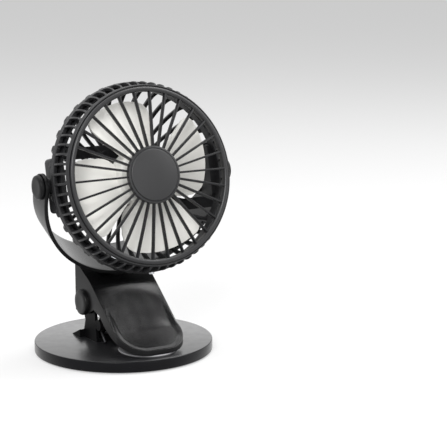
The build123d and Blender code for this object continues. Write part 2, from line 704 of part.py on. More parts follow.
# ---------------------------------------------------------------- yoke and its fasteners
def yoke_band(end_r, half):
    """The yoke's band seen from the front: a half ring with straight ears."""
    out, inner = YOKE_OUT_R, YOKE_IN_R
    face = make_face([
        Line((out, 0, end_r), (out, 0, 0)),
        ThreePointArc((out, 0, 0), (0, 0, -out), (-out, 0, 0)),
        Polyline((-out, 0, 0), (-out, 0, end_r), (-inner, 0, end_r), (-inner, 0, 0)),
        ThreePointArc((-inner, 0, 0), (0, 0, -inner), (inner, 0, 0)),
        Polyline((inner, 0, 0), (inner, 0, end_r), (out, 0, end_r)),
    ])
    return extrude(face, amount=half, both=True)


def make_yoke():
    end_r = YOKE_END_W / 2
    reach = YOKE_OUT_R + OVER
    half = end_r + (YOKE_LOW_W / 2 - end_r) * reach / YOKE_OUT_R
    clear = half + OVER
    taper = side_prism([(half, -reach), (clear, -reach), (clear, reach), (end_r, reach), (end_r, 0)], reach)
    band = yoke_band(end_r, half) - taper - mirror(taper, about=Plane.XZ)
    corner = side_prism([(-end_r, 0), (end_r, 0), (end_r, end_r), (-end_r, end_r)], reach)
    band -= corner - x_rod(end_r, -reach, reach, 0, 0)
    ear = x_rod(PIVOT_CAP_R, YOKE_IN_R, YOKE_OUT_R, 0, 0)
    band += [z_rod(SWIVEL_BOSS_R, -SWIVEL_BOSS_OUT, -YOKE_R), ear, mirror_x(ear)]
    band -= x_rod(PIVOT_WASHER_R + REST_GAP, -YOKE_IN_R, YOKE_IN_R, 0, 0)
    band -= z_rod(SWIVEL_HEAD_R + REST_GAP, -YOKE_IN_R - SWIVEL_SINK, 0)
    band -= z_rod(SWIVEL_BOLT_R + SEAT, -SWIVEL_FACE, 0)
    band -= x_rod(PIVOT_SCREW_R + RUN, -reach, reach, 0, 0)
    save("yoke", YOKE * band)


def make_swivel():
    """Washer, bolt and nut that hold the yoke on the arm."""
    washer_low = SWIVEL_BOSS_OUT + FACE + SWIVEL_WASHER_T
    washer = z_rod(SWIVEL_WASHER_R, -washer_low, -SWIVEL_BOSS_OUT - FACE)
    washer -= z_rod(SWIVEL_BOLT_R + RUN, -washer_low, -SWIVEL_BOSS_OUT)
    save("swivel_washer", YOKE * washer)

    nut_face = SWIVEL_FACE + ARM_TOP_RISE * LEAN_COS + FACE
    nut_low = nut_face + NUT_WASHER_T + NUT_H
    seat = YOKE_IN_R + SWIVEL_SINK
    bolt = pan_screw(SWIVEL_BOLT_R, SWIVEL_HEAD_R, SWIVEL_HEAD_H, nut_low + SWIVEL_BOLT_END - seat)
    save("swivel_bolt", YOKE * Pos(0, 0, -seat) * bolt)
    bore = z_rod(SWIVEL_BOLT_R + SEAT, -nut_low, -nut_face)
    save("nut_washer", YOKE * (z_rod(NUT_WASHER_R, -nut_face - NUT_WASHER_T, -nut_face) - bore))
    nut = Pos(0, 0, -nut_low) * extrude(RegularPolygon(NUT_R, 6), amount=NUT_H)
    save("swivel_nut", YOKE * (nut - bore))


def make_pivot_caps():
    cap = x_rod(PIVOT_CAP_R, YOKE_OUT_R, PIVOT_CAP_FACE, 0, 0)
    cap = fillet(cap.edges().group_by(Axis.X)[-1], PIVOT_CAP_EDGE)
    cap -= x_rod(PIVOT_HEAD_R + PIVOT_CAP_ROOM, 0, PIVOT_CAP_FACE - PIVOT_CAP_WALL, 0, 0)
    save("pivot_caps", YOKE * cap, YOKE * mirror_x(cap))


def make_pivots():
    """Tilt pivot screws and friction washers, on the tilt axis and turned like the head."""
    screw = pan_screw(PIVOT_SCREW_R, PIVOT_HEAD_R, PIVOT_HEAD_H, PIVOT_SCREW_L)
    right = Location((YOKE_OUT_R + FACE, 0, 0), (0, 90, 0)) * screw
    save("pivot_screws", AXLE * right, AXLE * mirror_x(right))
    out = YOKE_IN_R - FACE
    washer = x_rod(PIVOT_WASHER_R, out - PIVOT_WASHER_T, out, 0, 0)
    washer -= x_rod(PIVOT_SCREW_R + SEAT, 0, YOKE_R, 0, 0)
    save("pivot_washers", AXLE * washer, AXLE * mirror_x(washer))


# ---------------------------------------------------------------- head
def ring_outline():
    """Section of the front ring, the slotted wall and the smooth band, as (radius, height)."""
    bead = RING_OUT_R - LIP_IN
    lip = RING_FRONT - LIP_BACK
    slot_front = RING_FRONT - RING_T
    flare = RING_OUT_R + BAND_STEP
    shoulder = BAND_R - BAND_STEP
    bow = [
        (flare + (shoulder - flare) * share + out, slot_front - (slot_front - BAND_FRONT) * share)
        for share, out in [(0, 0), *WALL_BOW, (1, 0)]
    ]
    inner_bow = [(r - GRILLE_WALL, z) for r, z in reversed(bow)]
    return [
        (RING_IN_R, RING_FRONT - RING_EDGE), (RING_IN_R + RING_EDGE, RING_FRONT),
        (bead - RING_EDGE, RING_FRONT), (bead, RING_FRONT - RING_EDGE), (bead, lip),
        (RING_OUT_R - BAND_STEP, lip), (RING_OUT_R, lip - BAND_STEP), *bow,
        (BAND_R, BAND_FRONT - BAND_STEP * 2), (BAND_R, SEAM), (BAND_R - GRILLE_WALL, SEAM),
        *inner_bow, (RING_IN_R, slot_front),
    ]


def slot_cutters():
    """Cutters of the slots between the side ribs."""
    slot_front = RING_FRONT - RING_T
    slot_r = (RING_OUT_R + BAND_R) / 2
    slot_w = 2 * math.pi * slot_r / SIDE_RIBS - SIDE_RIB_T
    reach = BAND_R - RING_OUT_R + 4 * GRILLE_WALL
    cutter = Box(reach, slot_w, slot_front - BAND_FRONT)
    cutter = Pos(slot_r, 0, (slot_front + BAND_FRONT) / 2) * cutter
    step = 360 / SIDE_RIBS
    return [Rot(0, 0, step * (k + 0.5)) * cutter for k in range(SIDE_RIBS)]


def grille_spokes(disc_z):
    """Spokes from the disc's rim out to the front ring."""
    inner_r = DISC_RIM_R - SPOKE_LAP
    outer_r = RING_IN_R + SPOKE_LAP
    inner_z = disc_z - SPOKE_SINK
    outer_z = RING_FRONT - SPOKE_SINK
    section = make_face(Polyline(
        (inner_r, 0, inner_z), (outer_r, 0, outer_z),
        (outer_r, 0, outer_z - SPOKE_DEPTH), (inner_r, 0, inner_z - SPOKE_DEPTH), close=True))
    spoke = extrude(section, amount=SPOKE_T / 2, both=True)
    step = 360 / SPOKES
    return [Rot(0, 0, step * k) * spoke for k in range(SPOKES)]


def seam_screw_hole():
    return rod(M2_R + SEAT, (0, -BAND_R - OVER, SEAM_SCREW_Z), (0, 0, SEAM_SCREW_Z))


def make_grille():
    disc_z = RING_FRONT + DISC_PROUD
    seat_z = disc_z - DISC_RECESS
    rim_low = disc_z - SPOKE_SINK - SPOKE_DEPTH
    rim = turned([
        (0, seat_z), (DISC_R, seat_z), (DISC_R, disc_z), (DISC_RIM_R - DISC_RIM_EDGE, disc_z),
        (DISC_RIM_R, disc_z - DISC_RIM_EDGE), (DISC_RIM_R, rim_low), (0, rim_low),
    ])
    wall = turned(ring_outline()) - slot_cutters()
    grille = wall + [rim] + grille_spokes(disc_z)
    save("front_grille", HEAD * (grille - seam_screw_hole()))

    disc = z_rod(DISC_R - SEAT, seat_z, seat_z + DISC_T)
    disc = fillet(disc.edges().group_by(Axis.Z)[-1], DISC_RIM_EDGE)
    save("centre_disc", HEAD * disc)


def cage_line(offset, aside, root_r):
    """Arc along the cage's curve, moved out by an offset, in a plane beside the fan's axis."""
    places = [
        (BAND_R + offset, BAND_REAR), (CAGE_KNEE_R + offset * 0.8, CAGE_KNEE_Z - offset * 0.6),
        (root_r, CAGE_BACK - min(offset, 0) * 0.8),
    ]
    return ThreePointArc(*[(math.sqrt(r * r - aside * aside), 0, z) for r, z in places])


def cage_bar(lines, thickness):
    """A flat bar between two arcs of the cage, in the XZ plane."""
    out_arc, in_arc = lines
    edges = [out_arc, Line(out_arc @ 1, in_arc @ 1), in_arc, Line(in_arc @ 0, out_arc @ 0)]
    return extrude(make_face(edges), amount=thickness / 2, both=True)


def shell_band():
    """The shell's smooth band with the spigot that enters the grille."""
    spigot_r = BAND_R - BAND_STEP - GRILLE_WALL - SPIGOT_GAP - SPIGOT_DRAFT
    seam = SEAM - FACE
    return turned([
        (spigot_r - SPIGOT_T, SPIGOT_FRONT), (spigot_r, SPIGOT_FRONT), (spigot_r, seam),
        (BAND_R, seam), (BAND_R, BAND_REAR - BAND_TAIL / 2), (BAND_R - BAND_TAIL / 2, BAND_REAR - BAND_TAIL),
        (spigot_r - SPIGOT_T, BAND_REAR),
    ])


def cage():
    """Cage ribs and the two straight arms that carry the motor's seat."""
    root_r = HUB_PLATE_R - RIB_ROOT
    lines = [cage_line(offset, 0, root_r) for offset in (CAGE_RIB_PROUD, -CAGE_RIB_DEPTH)]
    foot_room = Box(BAND_R * 4, CAGE_FOOT_T * 2, CAGE_FOOT_L * 2)
    rib = cage_bar(lines, CAGE_RIB_T) + (cage_bar(lines, CAGE_FOOT_T) & Pos(0, 0, BAND_REAR) * foot_room)
    step = 360 / CAGE_RIBS
    ribs = [Rot(0, 0, CAGE_RIB_START + step * k) * rib for k in range(CAGE_RIBS)]
    aside = MOTOR_ARM_OFF + MOTOR_ARM_W / 2
    arm_root = math.hypot(aside, HUB_PLATE_R / 3)
    arm = cage_bar([cage_line(offset, aside, arm_root) for offset in (0, -MOTOR_ARM_T)], MOTOR_ARM_W)
    above = Box(BAND_R * 4, MOTOR_ARM_W * 2, BAND_R, align=(Align.CENTER, Align.CENTER, Align.MIN))
    arm = Pos(0, -MOTOR_ARM_OFF, 0) * (arm & Pos(0, 0, CAGE_BACK) * above)
    return ribs + [arm, Rot(0, 0, 180) * arm]


def pivot_pod():
    """The block on one side of the band, with the stub that the tilt screw enters."""
    front = SEAM - FACE
    pod = Box(POD_DEPTH, POD_H, front - POD_REAR, align=(Align.MAX, Align.CENTER, Align.MAX))
    pod = fillet(pod.edges().filter_by(Axis.X), POD_CORNER_R)
    stub_out = YOKE_IN_R - 2 * FACE - PIVOT_WASHER_T
    return Pos(POD_X, 0, front) * pod + x_rod(STUB_R, POD_X, stub_out, 0, -AXIS_BACK)


def housing_screw_places():
    step = 360 / HOUSING_SCREWS
    return [polar(HOUSING_SCREW_R, HOUSING_SCREW_START + step * k) for k in range(HOUSING_SCREWS)]


def make_rear_shell():
    pod = pivot_pod()
    plate = z_rod(HUB_PLATE_R, CAGE_BACK, CAGE_BACK + HUB_PLATE_T)
    cup = z_rod(MOTOR_R + SEAT + MOTOR_CUP_T, CAGE_BACK, MOTOR_CUP_FRONT)
    shell = shell_band() + cage() + [plate, cup, pod, mirror_x(pod)]
    for x, y in housing_screw_places():
        shell += z_rod(BOSS_R, CAGE_BACK, CAGE_BACK + HUB_BOSS_H, x, y)
        shell -= z_rod(M2_R + SEAT, CAGE_BACK - OVER, CAGE_BACK + HUB_SCREW_L + REST_GAP, x, y)
    shell -= z_rod(MOTOR_R + SEAT, MOTOR_FRONT - MOTOR_L, MOTOR_FRONT)
    hole_in = YOKE_OUT_R + FACE - PIVOT_SCREW_L - PIVOT_HOLE_END
    hole = x_rod(PIVOT_SCREW_R + SEAT, hole_in, YOKE_R, 0, -AXIS_BACK)
    save("rear_shell", HEAD * (shell - [hole, mirror_x(hole), seam_screw_hole()]))

    screw = pan_screw(M2_R, M2_HEAD_R, M2_HEAD_H, GRILLE_WALL + SPIGOT_GAP + SPIGOT_T)
    save("grille_screw", HEAD * Location((0, -BAND_R, SEAM_SCREW_Z), (90, 0, 0)) * screw)


def make_motor():
    rear = MOTOR_FRONT - MOTOR_L
    shaft_rear = rear + MOTOR_CUP_T
    can = z_rod(MOTOR_R, rear, MOTOR_FRONT)
    can = fillet(can.edges().group_by(Axis.Z)[-1], MOTOR_CUP_T / 2)
    can -= z_rod(SHAFT_R + RUN, shaft_rear, MOTOR_FRONT)
    bush = z_rod(BUSH_R, MOTOR_FRONT, MOTOR_FRONT + BUSH_L)
    bush -= z_rod(SHAFT_R + RUN, MOTOR_FRONT, MOTOR_FRONT + BUSH_L)
    save("motor", HEAD * can)
    save("motor_bush", HEAD * bush)
    save("motor_shaft", HEAD * z_rod(SHAFT_R, shaft_rear + FACE, SHAFT_FRONT))


def blade_section(distance, y_low, y_high):
    """Thin blade section on a plane across a radius, rising from the rear to the front edge."""
    low = BLADE_REAR + BLADE_T / 2
    high = BLADE_FRONT - BLADE_T / 2
    tilt = math.atan2(high - low, y_high - y_low)
    length = math.hypot(high - low, y_high - y_low)
    middle = (distance, (y_low + y_high) / 2, (low + high) / 2)
    plane = Plane(origin=middle, x_dir=(0, 1, 0), z_dir=(1, 0, 0))
    return plane * Rot(0, 0, math.degrees(tilt)) * Rectangle(length, BLADE_T)


def blade_outline():
    """Plan of one blade: hub side, full rear edge, round-cornered tip arc, straight front edge."""
    root = FAN_HUB_R - FAN_HUB_WALL / 2
    lobe = [polar(BLADE_R * share, angle) for share, angle in BLADE_LOBE]
    tip = polar(BLADE_R * BLADE_FRONT_SWELL, BLADE_ANGLE)
    edges = [
        Spline(*lobe), ThreePointArc(lobe[-1], (BLADE_R * BLADE_MID_SWELL, 0), tip),
        Polyline(tip, polar(root, BLADE_ANGLE), lobe[0]),
    ]
    face = make_face(edges)
    for corner, radius in ((tip, BLADE_FRONT_CORNER), (lobe[-1], BLADE_REAR_CORNER)):
        face = fillet(face.vertices().sort_by_distance((*corner, 0))[0], radius)
    return face


def fan_hub():
    """The impeller's cup with its inner boss."""
    wall_r = FAN_HUB_R - FAN_HUB_WALL
    roof = FAN_HUB_FRONT - FAN_HUB_WALL
    boss_low = MOTOR_FRONT + BUSH_L + REST_GAP
    return turned([
        (0, FAN_HUB_FRONT), (FAN_HUB_R - FAN_HUB_EDGE, FAN_HUB_FRONT),
        (FAN_HUB_R, FAN_HUB_FRONT - FAN_HUB_EDGE), (FAN_HUB_R, FAN_HUB_REAR), (wall_r, FAN_HUB_REAR),
        (wall_r, roof - FAN_HUB_EDGE / 2), (wall_r - FAN_HUB_EDGE / 2, roof),
        (FAN_BOSS_R, roof), (FAN_BOSS_R, boss_low), (0, boss_low),
    ])


def make_impeller():
    tip_x = BLADE_R * BLADE_FRONT_SWELL + OVER
    blade = loft([
        blade_section(BLADE_START_X, BLADE_ROOT_LOW, BLADE_ROOT_HIGH),
        blade_section(tip_x, BLADE_TIP_LOW, tip_x * math.tan(math.radians(BLADE_ANGLE))),
    ], ruled=True)
    depth = BLADE_FRONT - BLADE_REAR
    blade &= Pos(0, 0, BLADE_REAR - OVER) * extrude(blade_outline(), amount=depth + 2 * OVER)
    blade -= z_rod(FAN_HUB_R - FAN_HUB_WALL / 2, BLADE_REAR - OVER, BLADE_FRONT + OVER)
    step = 360 / BLADES
    fan = fan_hub() + [Rot(0, 0, BLADE_START + step * k) * blade for k in range(BLADES)]
    fan -= z_rod(SHAFT_R + SEAT / 3, MOTOR_FRONT, SHAFT_FRONT + SEAT)
    save("impeller", HEAD * fan)


def board_corners():
    x = BOARD_W / 2 - POST_INSET
    y = BOARD_H / 2 - POST_INSET
    return [(-x, -y), (x, -y), (-x, y), (x, y)]


def make_housing():
    front = CAGE_BACK - FACE
    shell = z_rod(HOUSING_R, HOUSING_REAR, front)
    shell = fillet(shell.edges().group_by(Axis.Z)[0], HOUSING_EDGE)
    inside = z_rod(HOUSING_R - HOUSING_WALL / 2, HOUSING_REAR + HOUSING_WALL / 2, front)
    shell -= z_rod(HOUSING_R - HOUSING_WALL, HOUSING_IN, front)
    head_front = HOUSING_REAR + HOUSING_SCREW_SINK + M2_HEAD_H
    for x, y in housing_screw_places():
        shell += z_rod(HOUSING_BOSS_R, HOUSING_REAR + HOUSING_WALL / 2, front, x, y) & inside
        shell -= z_rod(M2_R + SEAT, HOUSING_REAR - OVER, front + OVER, x, y)
        shell -= z_rod(M2_HEAD_R + FACE, HOUSING_REAR - OVER, head_front, x, y)
    for x, y in board_corners():
        shell += z_rod(BOARD_POST_R, HOUSING_IN - HOUSING_WALL / 2, BOARD_Z, x, y)
    mouth = Box(SOCKET_W + 2 * FACE, HOUSING_WALL * 6, SOCKET_H + 2 * FACE)
    shell -= Pos(0, HOUSING_WALL - HOUSING_R, BOARD_Z - SOCKET_H / 2) * mouth
    shell -= z_rod(BUTTON_R + BUTTON_GAP, HOUSING_REAR - OVER, HOUSING_IN + OVER, 0, BUTTON_Y)
    shell -= z_rod(LIGHT_R + SEAT, HOUSING_REAR - OVER, HOUSING_IN + OVER, 0, LIGHT_Y)
    save("rear_housing", HEAD * shell)

    screw = pan_screw(M2_R, M2_HEAD_R, M2_HEAD_H, CAGE_BACK + HUB_SCREW_L - head_front)
    flip = Location((0, 0, head_front), (180, 0, 0))
    places = housing_screw_places()
    save("housing_screws", *[HEAD * Pos(x, y, 0) * flip * screw for x, y in places])


def make_electronics():
    """Battery, board, switch and light inside the housing."""
    cell = Box(CELL_W, CELL_H, CELL_T, align=(Align.CENTER, Align.CENTER, Align.MAX))
    cell = fillet(cell.edges().filter_by(Axis.Y), CELL_CORNER_R)
    save("battery_cell", HEAD * Pos(0, 0, CAGE_BACK - REST_GAP) * cell)
    board = Box(BOARD_W, BOARD_H, BOARD_T, align=(Align.CENTER, Align.CENTER, Align.MIN))
    save("circuit_board", HEAD * Pos(0, 0, BOARD_Z) * board)
    switch = Box(SWITCH_W, SWITCH_W, SWITCH_H, align=(Align.CENTER, Align.CENTER, Align.MAX))
    save("tact_switch", HEAD * Pos(0, BUTTON_Y, BOARD_Z) * switch)
    save("indicator_light", HEAD * z_rod(LIGHT_R, HOUSING_REAR, BOARD_Z - SEAT, 0, LIGHT_Y))


def make_socket():
    """Charging socket: a hollow can with a tongue, open towards the fan's underside."""
    at_mouth = (Align.CENTER, Align.MIN, Align.MAX)
    can = Box(SOCKET_W, SOCKET_L, SOCKET_H, align=at_mouth)
    can = fillet(can.edges().filter_by(Axis.Y), SOCKET_H * 0.4)
    room = Box(SOCKET_W - 2 * SOCKET_WALL, SOCKET_L, SOCKET_H - 2 * SOCKET_WALL, align=at_mouth)
    room = fillet(room.edges().filter_by(Axis.Y), SOCKET_H * 0.3)
    tongue = Box(SOCKET_W / 2, SOCKET_L * 0.7, TONGUE_T, align=(Align.CENTER, Align.MAX, Align.CENTER))
    can -= Pos(0, -SOCKET_WALL * 2, -SOCKET_WALL) * room
    can += Pos(0, SOCKET_L - SOCKET_WALL, -SOCKET_H / 2) * tongue
    mouth_y = SOCKET_INSET - math.sqrt(HOUSING_R ** 2 - (SOCKET_W / 2) ** 2)
    save("charging_socket", HEAD * Pos(0, mouth_y, BOARD_Z) * can)


def make_button():
    button = z_rod(BUTTON_R, HOUSING_REAR - BUTTON_PROUD, FLANGE_FRONT, 0, BUTTON_Y)
    button = fillet(button.edges().group_by(Axis.Z)[0], BUTTON_PROUD / 2)
    button += z_rod(BUTTON_FLANGE_R, FLANGE_REAR, FLANGE_FRONT, 0, BUTTON_Y)
    save("power_button", HEAD * button)


make_base_plate()
make_base_filling()
make_base_fittings()
make_bracket()
make_hinge()
make_springs()
make_arm()
make_yoke()
make_swivel()
make_pivot_caps()
make_pivots()
make_grille()
make_rear_shell()
make_motor()
make_impeller()
make_housing()
make_electronics()
make_socket()
make_button()
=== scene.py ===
import logging
import math
from dataclasses import dataclass, field
from enum import Enum
from typing import Callable, Iterable, Sequence

import bmesh
import bpy
from bmesh.types import BMEdge, BMesh, BMFace, BMVert
from bpy.types import Material, MeshPolygon, Node, NodeSocket, NodeTree, Object
from mathutils import Matrix, Vector


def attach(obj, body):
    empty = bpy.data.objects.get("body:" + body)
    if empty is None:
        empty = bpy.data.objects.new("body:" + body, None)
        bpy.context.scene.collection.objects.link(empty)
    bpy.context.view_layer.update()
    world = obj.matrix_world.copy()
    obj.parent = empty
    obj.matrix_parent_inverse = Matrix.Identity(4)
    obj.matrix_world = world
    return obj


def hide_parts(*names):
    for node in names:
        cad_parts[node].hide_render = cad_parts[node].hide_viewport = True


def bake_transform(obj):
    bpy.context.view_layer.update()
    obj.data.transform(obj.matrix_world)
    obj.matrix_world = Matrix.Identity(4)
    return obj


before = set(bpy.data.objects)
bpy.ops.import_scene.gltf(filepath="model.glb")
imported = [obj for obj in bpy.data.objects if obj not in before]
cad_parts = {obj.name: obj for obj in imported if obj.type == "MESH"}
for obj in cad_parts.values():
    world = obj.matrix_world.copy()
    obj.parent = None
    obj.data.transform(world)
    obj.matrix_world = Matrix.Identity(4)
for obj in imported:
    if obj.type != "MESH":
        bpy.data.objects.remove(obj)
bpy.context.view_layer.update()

LOG = logging.getLogger("clip_fan")

Point = tuple[float, float, float]
Profile = Sequence[tuple[float, float]]
Station = tuple[Vector, Vector, float]
Curve = tuple[float, tuple[float, float]]
Setting = float | tuple[float, ...] | NodeSocket

MM = 0.001  # Metres to a millimetre. Every size below is in millimetres, except the studio's.
MELD = 1e-4  # Points closer than this are one.
SHARP = 1.0  # Edges that bend by more than this angle, in radians, are rounded.
BITE = 0.02  # How far a part sinks into the one that carries it.
EASE = 0.3  # The usual break of a moulded edge.


# ------------------------------------------------------------------ frames and bodies
class Body(Enum):
    """The six rigid bodies of the fan."""

    BASE = "base"
    CLIP = "clip"
    YOKE = "yoke"
    HEAD = "head"
    IMPELLER = "impeller"
    BUTTON = "button"


class Axis(Enum):
    """The axis that an outline is turned about."""

    X = "x"
    Z = "z"


TILT_AXIS = Vector((0.0, -18.224, 123.492))
AXIS_BACK = 5.0  # How far the tilt axis lies behind the head's origin.
HEAD_TILT = math.radians(90 - 12.8)
YOKE_LEAN = math.radians(26.5)
TO_METRES = Matrix.Scale(MM, 4)
HEAD = (Matrix.Translation(TILT_AXIS) @ Matrix.Rotation(HEAD_TILT, 4, "X")
        @ Matrix.Translation((0.0, 0.0, AXIS_BACK)))
YOKE = Matrix.Translation(TILT_AXIS) @ Matrix.Rotation(YOKE_LEAN, 4, "X")
TO_HEAD = HEAD.inverted() @ Matrix.Scale(1 / MM, 4)


# ------------------------------------------------------------------ finishes
@dataclass(frozen=True)
class Wiring:
    """A node tree, with short ways to add nodes to it and join them."""

    tree: NodeTree

    def fill(self, node: Node, inputs: dict[str | int, Setting]) -> Node:
        """Set a node's inputs, or link them where another node's socket is given.

        Args:
            node: The node.
            inputs: The setting of each input, by the input's name or place.

        Returns:
            The same node.
        """
        for name, setting in inputs.items():
            if isinstance(setting, NodeSocket):
                self.tree.links.new(setting, node.inputs[name])
            else:
                node.inputs[name].default_value = setting
        return node

    def add(self, kind: str, inputs: dict[str | int, Setting] | None = None) -> Node:
        """Add a node, its type given without the first part that all types share."""
        return self.fill(self.tree.nodes.new("ShaderNode" + kind), inputs or {})

    def noise(self, place: NodeSocket, per_mm: float, detail: float) -> NodeSocket:
        """Add a noise with so many cells to a millimetre and so many finer octaves."""
        inputs = {"Vector": place, "Scale": per_mm / MM, "Detail": detail}
        return self.add("TexNoise", inputs).outputs["Fac"]

    def ranged(self, value: NodeSocket, low: float, high: float) -> NodeSocket:
        """Map the middle range of a noise's value to two limits."""
        limits = {"From Min": 0.3, "From Max": 0.7, "To Min": low, "To Max": high}
        return self.add("MapRange", {"Value": value, **limits}).outputs["Result"]

    def seen_rays(self) -> NodeSocket:
        """Add a value of 1 for camera, glossy and transmission rays.

        Returns:
            The value.
        """
        path = self.add("LightPath")
        total = path.outputs["Is Camera Ray"]
        for name in ("Is Glossy Ray", "Is Transmission Ray"):
            both = self.add("Math", {0: total, 1: path.outputs[name]})
            both.operation = "ADD"
            both.use_clamp = True
            total = both.outputs["Value"]
        return total


class Grain(Enum):
    """How the fine surface of a finish is laid."""

    SPARKED = "spark-eroded mould texture"
    POLISHED = "polished mould with slight ripple"
    BRUSHED = "drawn lines along one axis"
    CAST = "rough casting"
    RUBBER = "soft matt rubber"


GRAIN_DETAIL = {Grain.POLISHED: 1.0, Grain.BRUSHED: 2.0, Grain.RUBBER: 4.0, Grain.CAST: 8.0}
BRUSH_STRETCH = (0.05, 1.0, 1.0)
PATCHES = (0.045, 3.0)  # Cells to a millimetre, and octaves, of the noise in the colour.
HANDLING = (0.16, 4.0)  # The same for the noise in the roughness.
LEAST_ROUGHNESS = 0.02


@dataclass(frozen=True)
class Finish:
    """One surface finish, with its colour, gloss and the unevenness of both."""

    name: str
    colour: tuple[float, float, float]
    roughness: float
    grain: Grain = Grain.SPARKED
    metallic: float = 0.0
    specular: float = 0.5
    facing: float = 1.0
    coat: float = 0.0
    coat_roughness: float = 0.12
    mottle: float = 0.10
    rough_swing: float = 0.08
    grain_per_mm: float = 3.0
    depth_mm: float = 0.006
    transmission: float = 0.0

    def material(self) -> Material:
        """Make the finish's material, or hand back the one already made.

        Returns:
            The node material.
        """
        made = bpy.data.materials.get(self.name)
        if made:
            return made
        material = bpy.data.materials.new(self.name)
        material.use_nodes = True
        board = Wiring(material.node_tree)
        place = board.add("TexCoord").outputs["Object"]
        board.fill(material.node_tree.nodes["Principled BSDF"], {
            "Metallic": self.metallic,
            "Specular IOR Level": self.specular,
            "Specular Tint": (self.facing, self.facing, self.facing, 1.0),
            "Coat Weight": self.coat,
            "Coat Roughness": self.coat_roughness,
            "Transmission Weight": self.transmission,
            "Base Color": self._colour(board, place),
            "Roughness": self._gloss(board, place),
            "Normal": self._surface(board, place),
        })
        return material

    def _colour(self, board: Wiring, place: NodeSocket) -> NodeSocket:
        """Vary the colour a little in broad soft patches.

        Args:
            board: The material's wiring.
            place: The coordinates of the surface.

        Returns:
            The colour.
        """
        patches = board.noise(place, *PATCHES)
        mix = board.add("Mix")
        mix.data_type = "RGBA"
        board.fill(mix, {
            "A": (*(c * (1 - self.mottle) for c in self.colour), 1.0),
            "B": (*(min(1.0, c * (1 + self.mottle)) for c in self.colour), 1.0),
            "Factor": board.ranged(patches, 0.0, 1.0),
        })
        return mix.outputs["Result"]

    def _gloss(self, board: Wiring, place: NodeSocket) -> NodeSocket:
        """Vary the roughness, as handling and the mould leave it.

        Args:
            board: The material's wiring.
            place: The coordinates of the surface.

        Returns:
            The roughness.
        """
        swing = self.rough_swing / 2
        low = max(LEAST_ROUGHNESS, self.roughness - swing)
        return board.ranged(board.noise(place, *HANDLING), low, min(1.0, self.roughness + swing))

    def _surface(self, board: Wiring, place: NodeSocket) -> NodeSocket:
        """Raise the fine grain with a bump.

        Args:
            board: The material's wiring.
            place: The coordinates of the surface.

        Returns:
            The bumped normal.
        """
        if self.grain is Grain.SPARKED:
            cells = {"Vector": place, "Scale": self.grain_per_mm / MM}
            height = board.add("TexVoronoi", cells).outputs["Distance"]
        else:
            if self.grain is Grain.BRUSHED:
                lines = {"Vector": place, "Scale": BRUSH_STRETCH}
                place = board.add("Mapping", lines).outputs["Vector"]
            height = board.noise(place, self.grain_per_mm, GRAIN_DETAIL[self.grain])
        bump = {"Strength": 1.0, "Distance": self.depth_mm * MM, "Height": height}
        return board.add("Bump", bump).outputs["Normal"]


SATIN_SHELL = Finish("satin_black_shell", (0.014, 0.014, 0.015), 0.36, facing=0.7)
# Painted shade: a darker, duller copy of the shell's black for the grille's spokes and the
# inside of its wall.
SATIN_SPOKE_SHADE = Finish("satin_black_spoke_painted_shade", (0.009, 0.009, 0.010), 0.40, facing=0.35)
# Painted shade: a darker, duller copy of the shell's black for the rear shell, so that the cage
# and the head's inside read dark.
SATIN_INSIDE_SHADE = Finish("satin_black_cage_painted_shade", (0.012, 0.012, 0.013), 0.45, facing=0.35)
# GLOSS_BLACK and the copy below are one plastic. The glossier copy goes on faces that look up or
# inward as a painted sheen; the duller copy, with weaker reflection, goes on sides and caps as
# painted shade.
GLOSS_BLACK = Finish(
    "semi_gloss_black", (0.0035, 0.0035, 0.0038), 0.25, Grain.POLISHED, facing=0.85, coat=0.4,
    coat_roughness=0.22, rough_swing=0.03, grain_per_mm=1.2, depth_mm=0.0006)
SHADED_SIDE_BLACK = Finish(
    "semi_gloss_black_side_painted_shade", (0.005, 0.005, 0.0053), 0.33, Grain.POLISHED, specular=0.2,
    facing=0.6, rough_swing=0.04, grain_per_mm=1.2, depth_mm=0.0006)
BRACKET_BLACK = Finish(
    "bracket_black", (0.004, 0.004, 0.0043), 0.36, specular=0.04, facing=0.3)
BASE_BLACK = Finish(
    "satin_black_base", (0.007, 0.007, 0.008), 0.24, Grain.POLISHED, facing=0.12,
    grain_per_mm=1.6, depth_mm=0.001)
# Painted sheen: a lighter, coated copy of the base's black, laid only on the flat top so that it
# reads brighter than the sides.
BASE_TOP_SHEEN = Finish(
    "satin_black_base_top_painted_sheen", (0.010, 0.010, 0.011), 0.34, Grain.POLISHED, facing=0.5, coat=1.0,
    coat_roughness=0.26, grain_per_mm=1.6, depth_mm=0.001)
DISC_GREY = Finish("matt_grey_disc", (0.026, 0.026, 0.027), 0.36, facing=0.5)
CREAM = Finish(
    "satin_cream_blades", (0.81, 0.80, 0.76), 0.38, Grain.POLISHED, mottle=0.015,
    grain_per_mm=0.8, depth_mm=0.003)
PAD_GREY = Finish("pale_grey_rubber", (0.27, 0.27, 0.28), 0.75, Grain.RUBBER, depth_mm=0.02)
MAT_BLACK = Finish("black_rubber_mat", (0.025, 0.025, 0.025), 0.8, Grain.RUBBER, depth_mm=0.03)
WEIGHT_IRON = Finish(
    "plain_iron", (0.24, 0.23, 0.22), 0.5, Grain.CAST, metallic=1.0, depth_mm=0.03)
SCREW_STEEL = Finish(
    "zinc_steel", (0.55, 0.56, 0.58), 0.3, Grain.BRUSHED, metallic=1.0, depth_mm=0.004)
SPRING_STEEL = Finish(
    "black_spring_steel", (0.035, 0.035, 0.038), 0.35, Grain.BRUSHED, metallic=0.7,
    grain_per_mm=4.0, depth_mm=0.004)
MOTOR_STEEL = Finish(
    "motor_can", (0.38, 0.38, 0.39), 0.34, Grain.BRUSHED, metallic=1.0, depth_mm=0.005)
BUSH_BRASS = Finish(
    "bush_brass", (0.62, 0.45, 0.18), 0.35, Grain.BRUSHED, metallic=1.0, depth_mm=0.004)
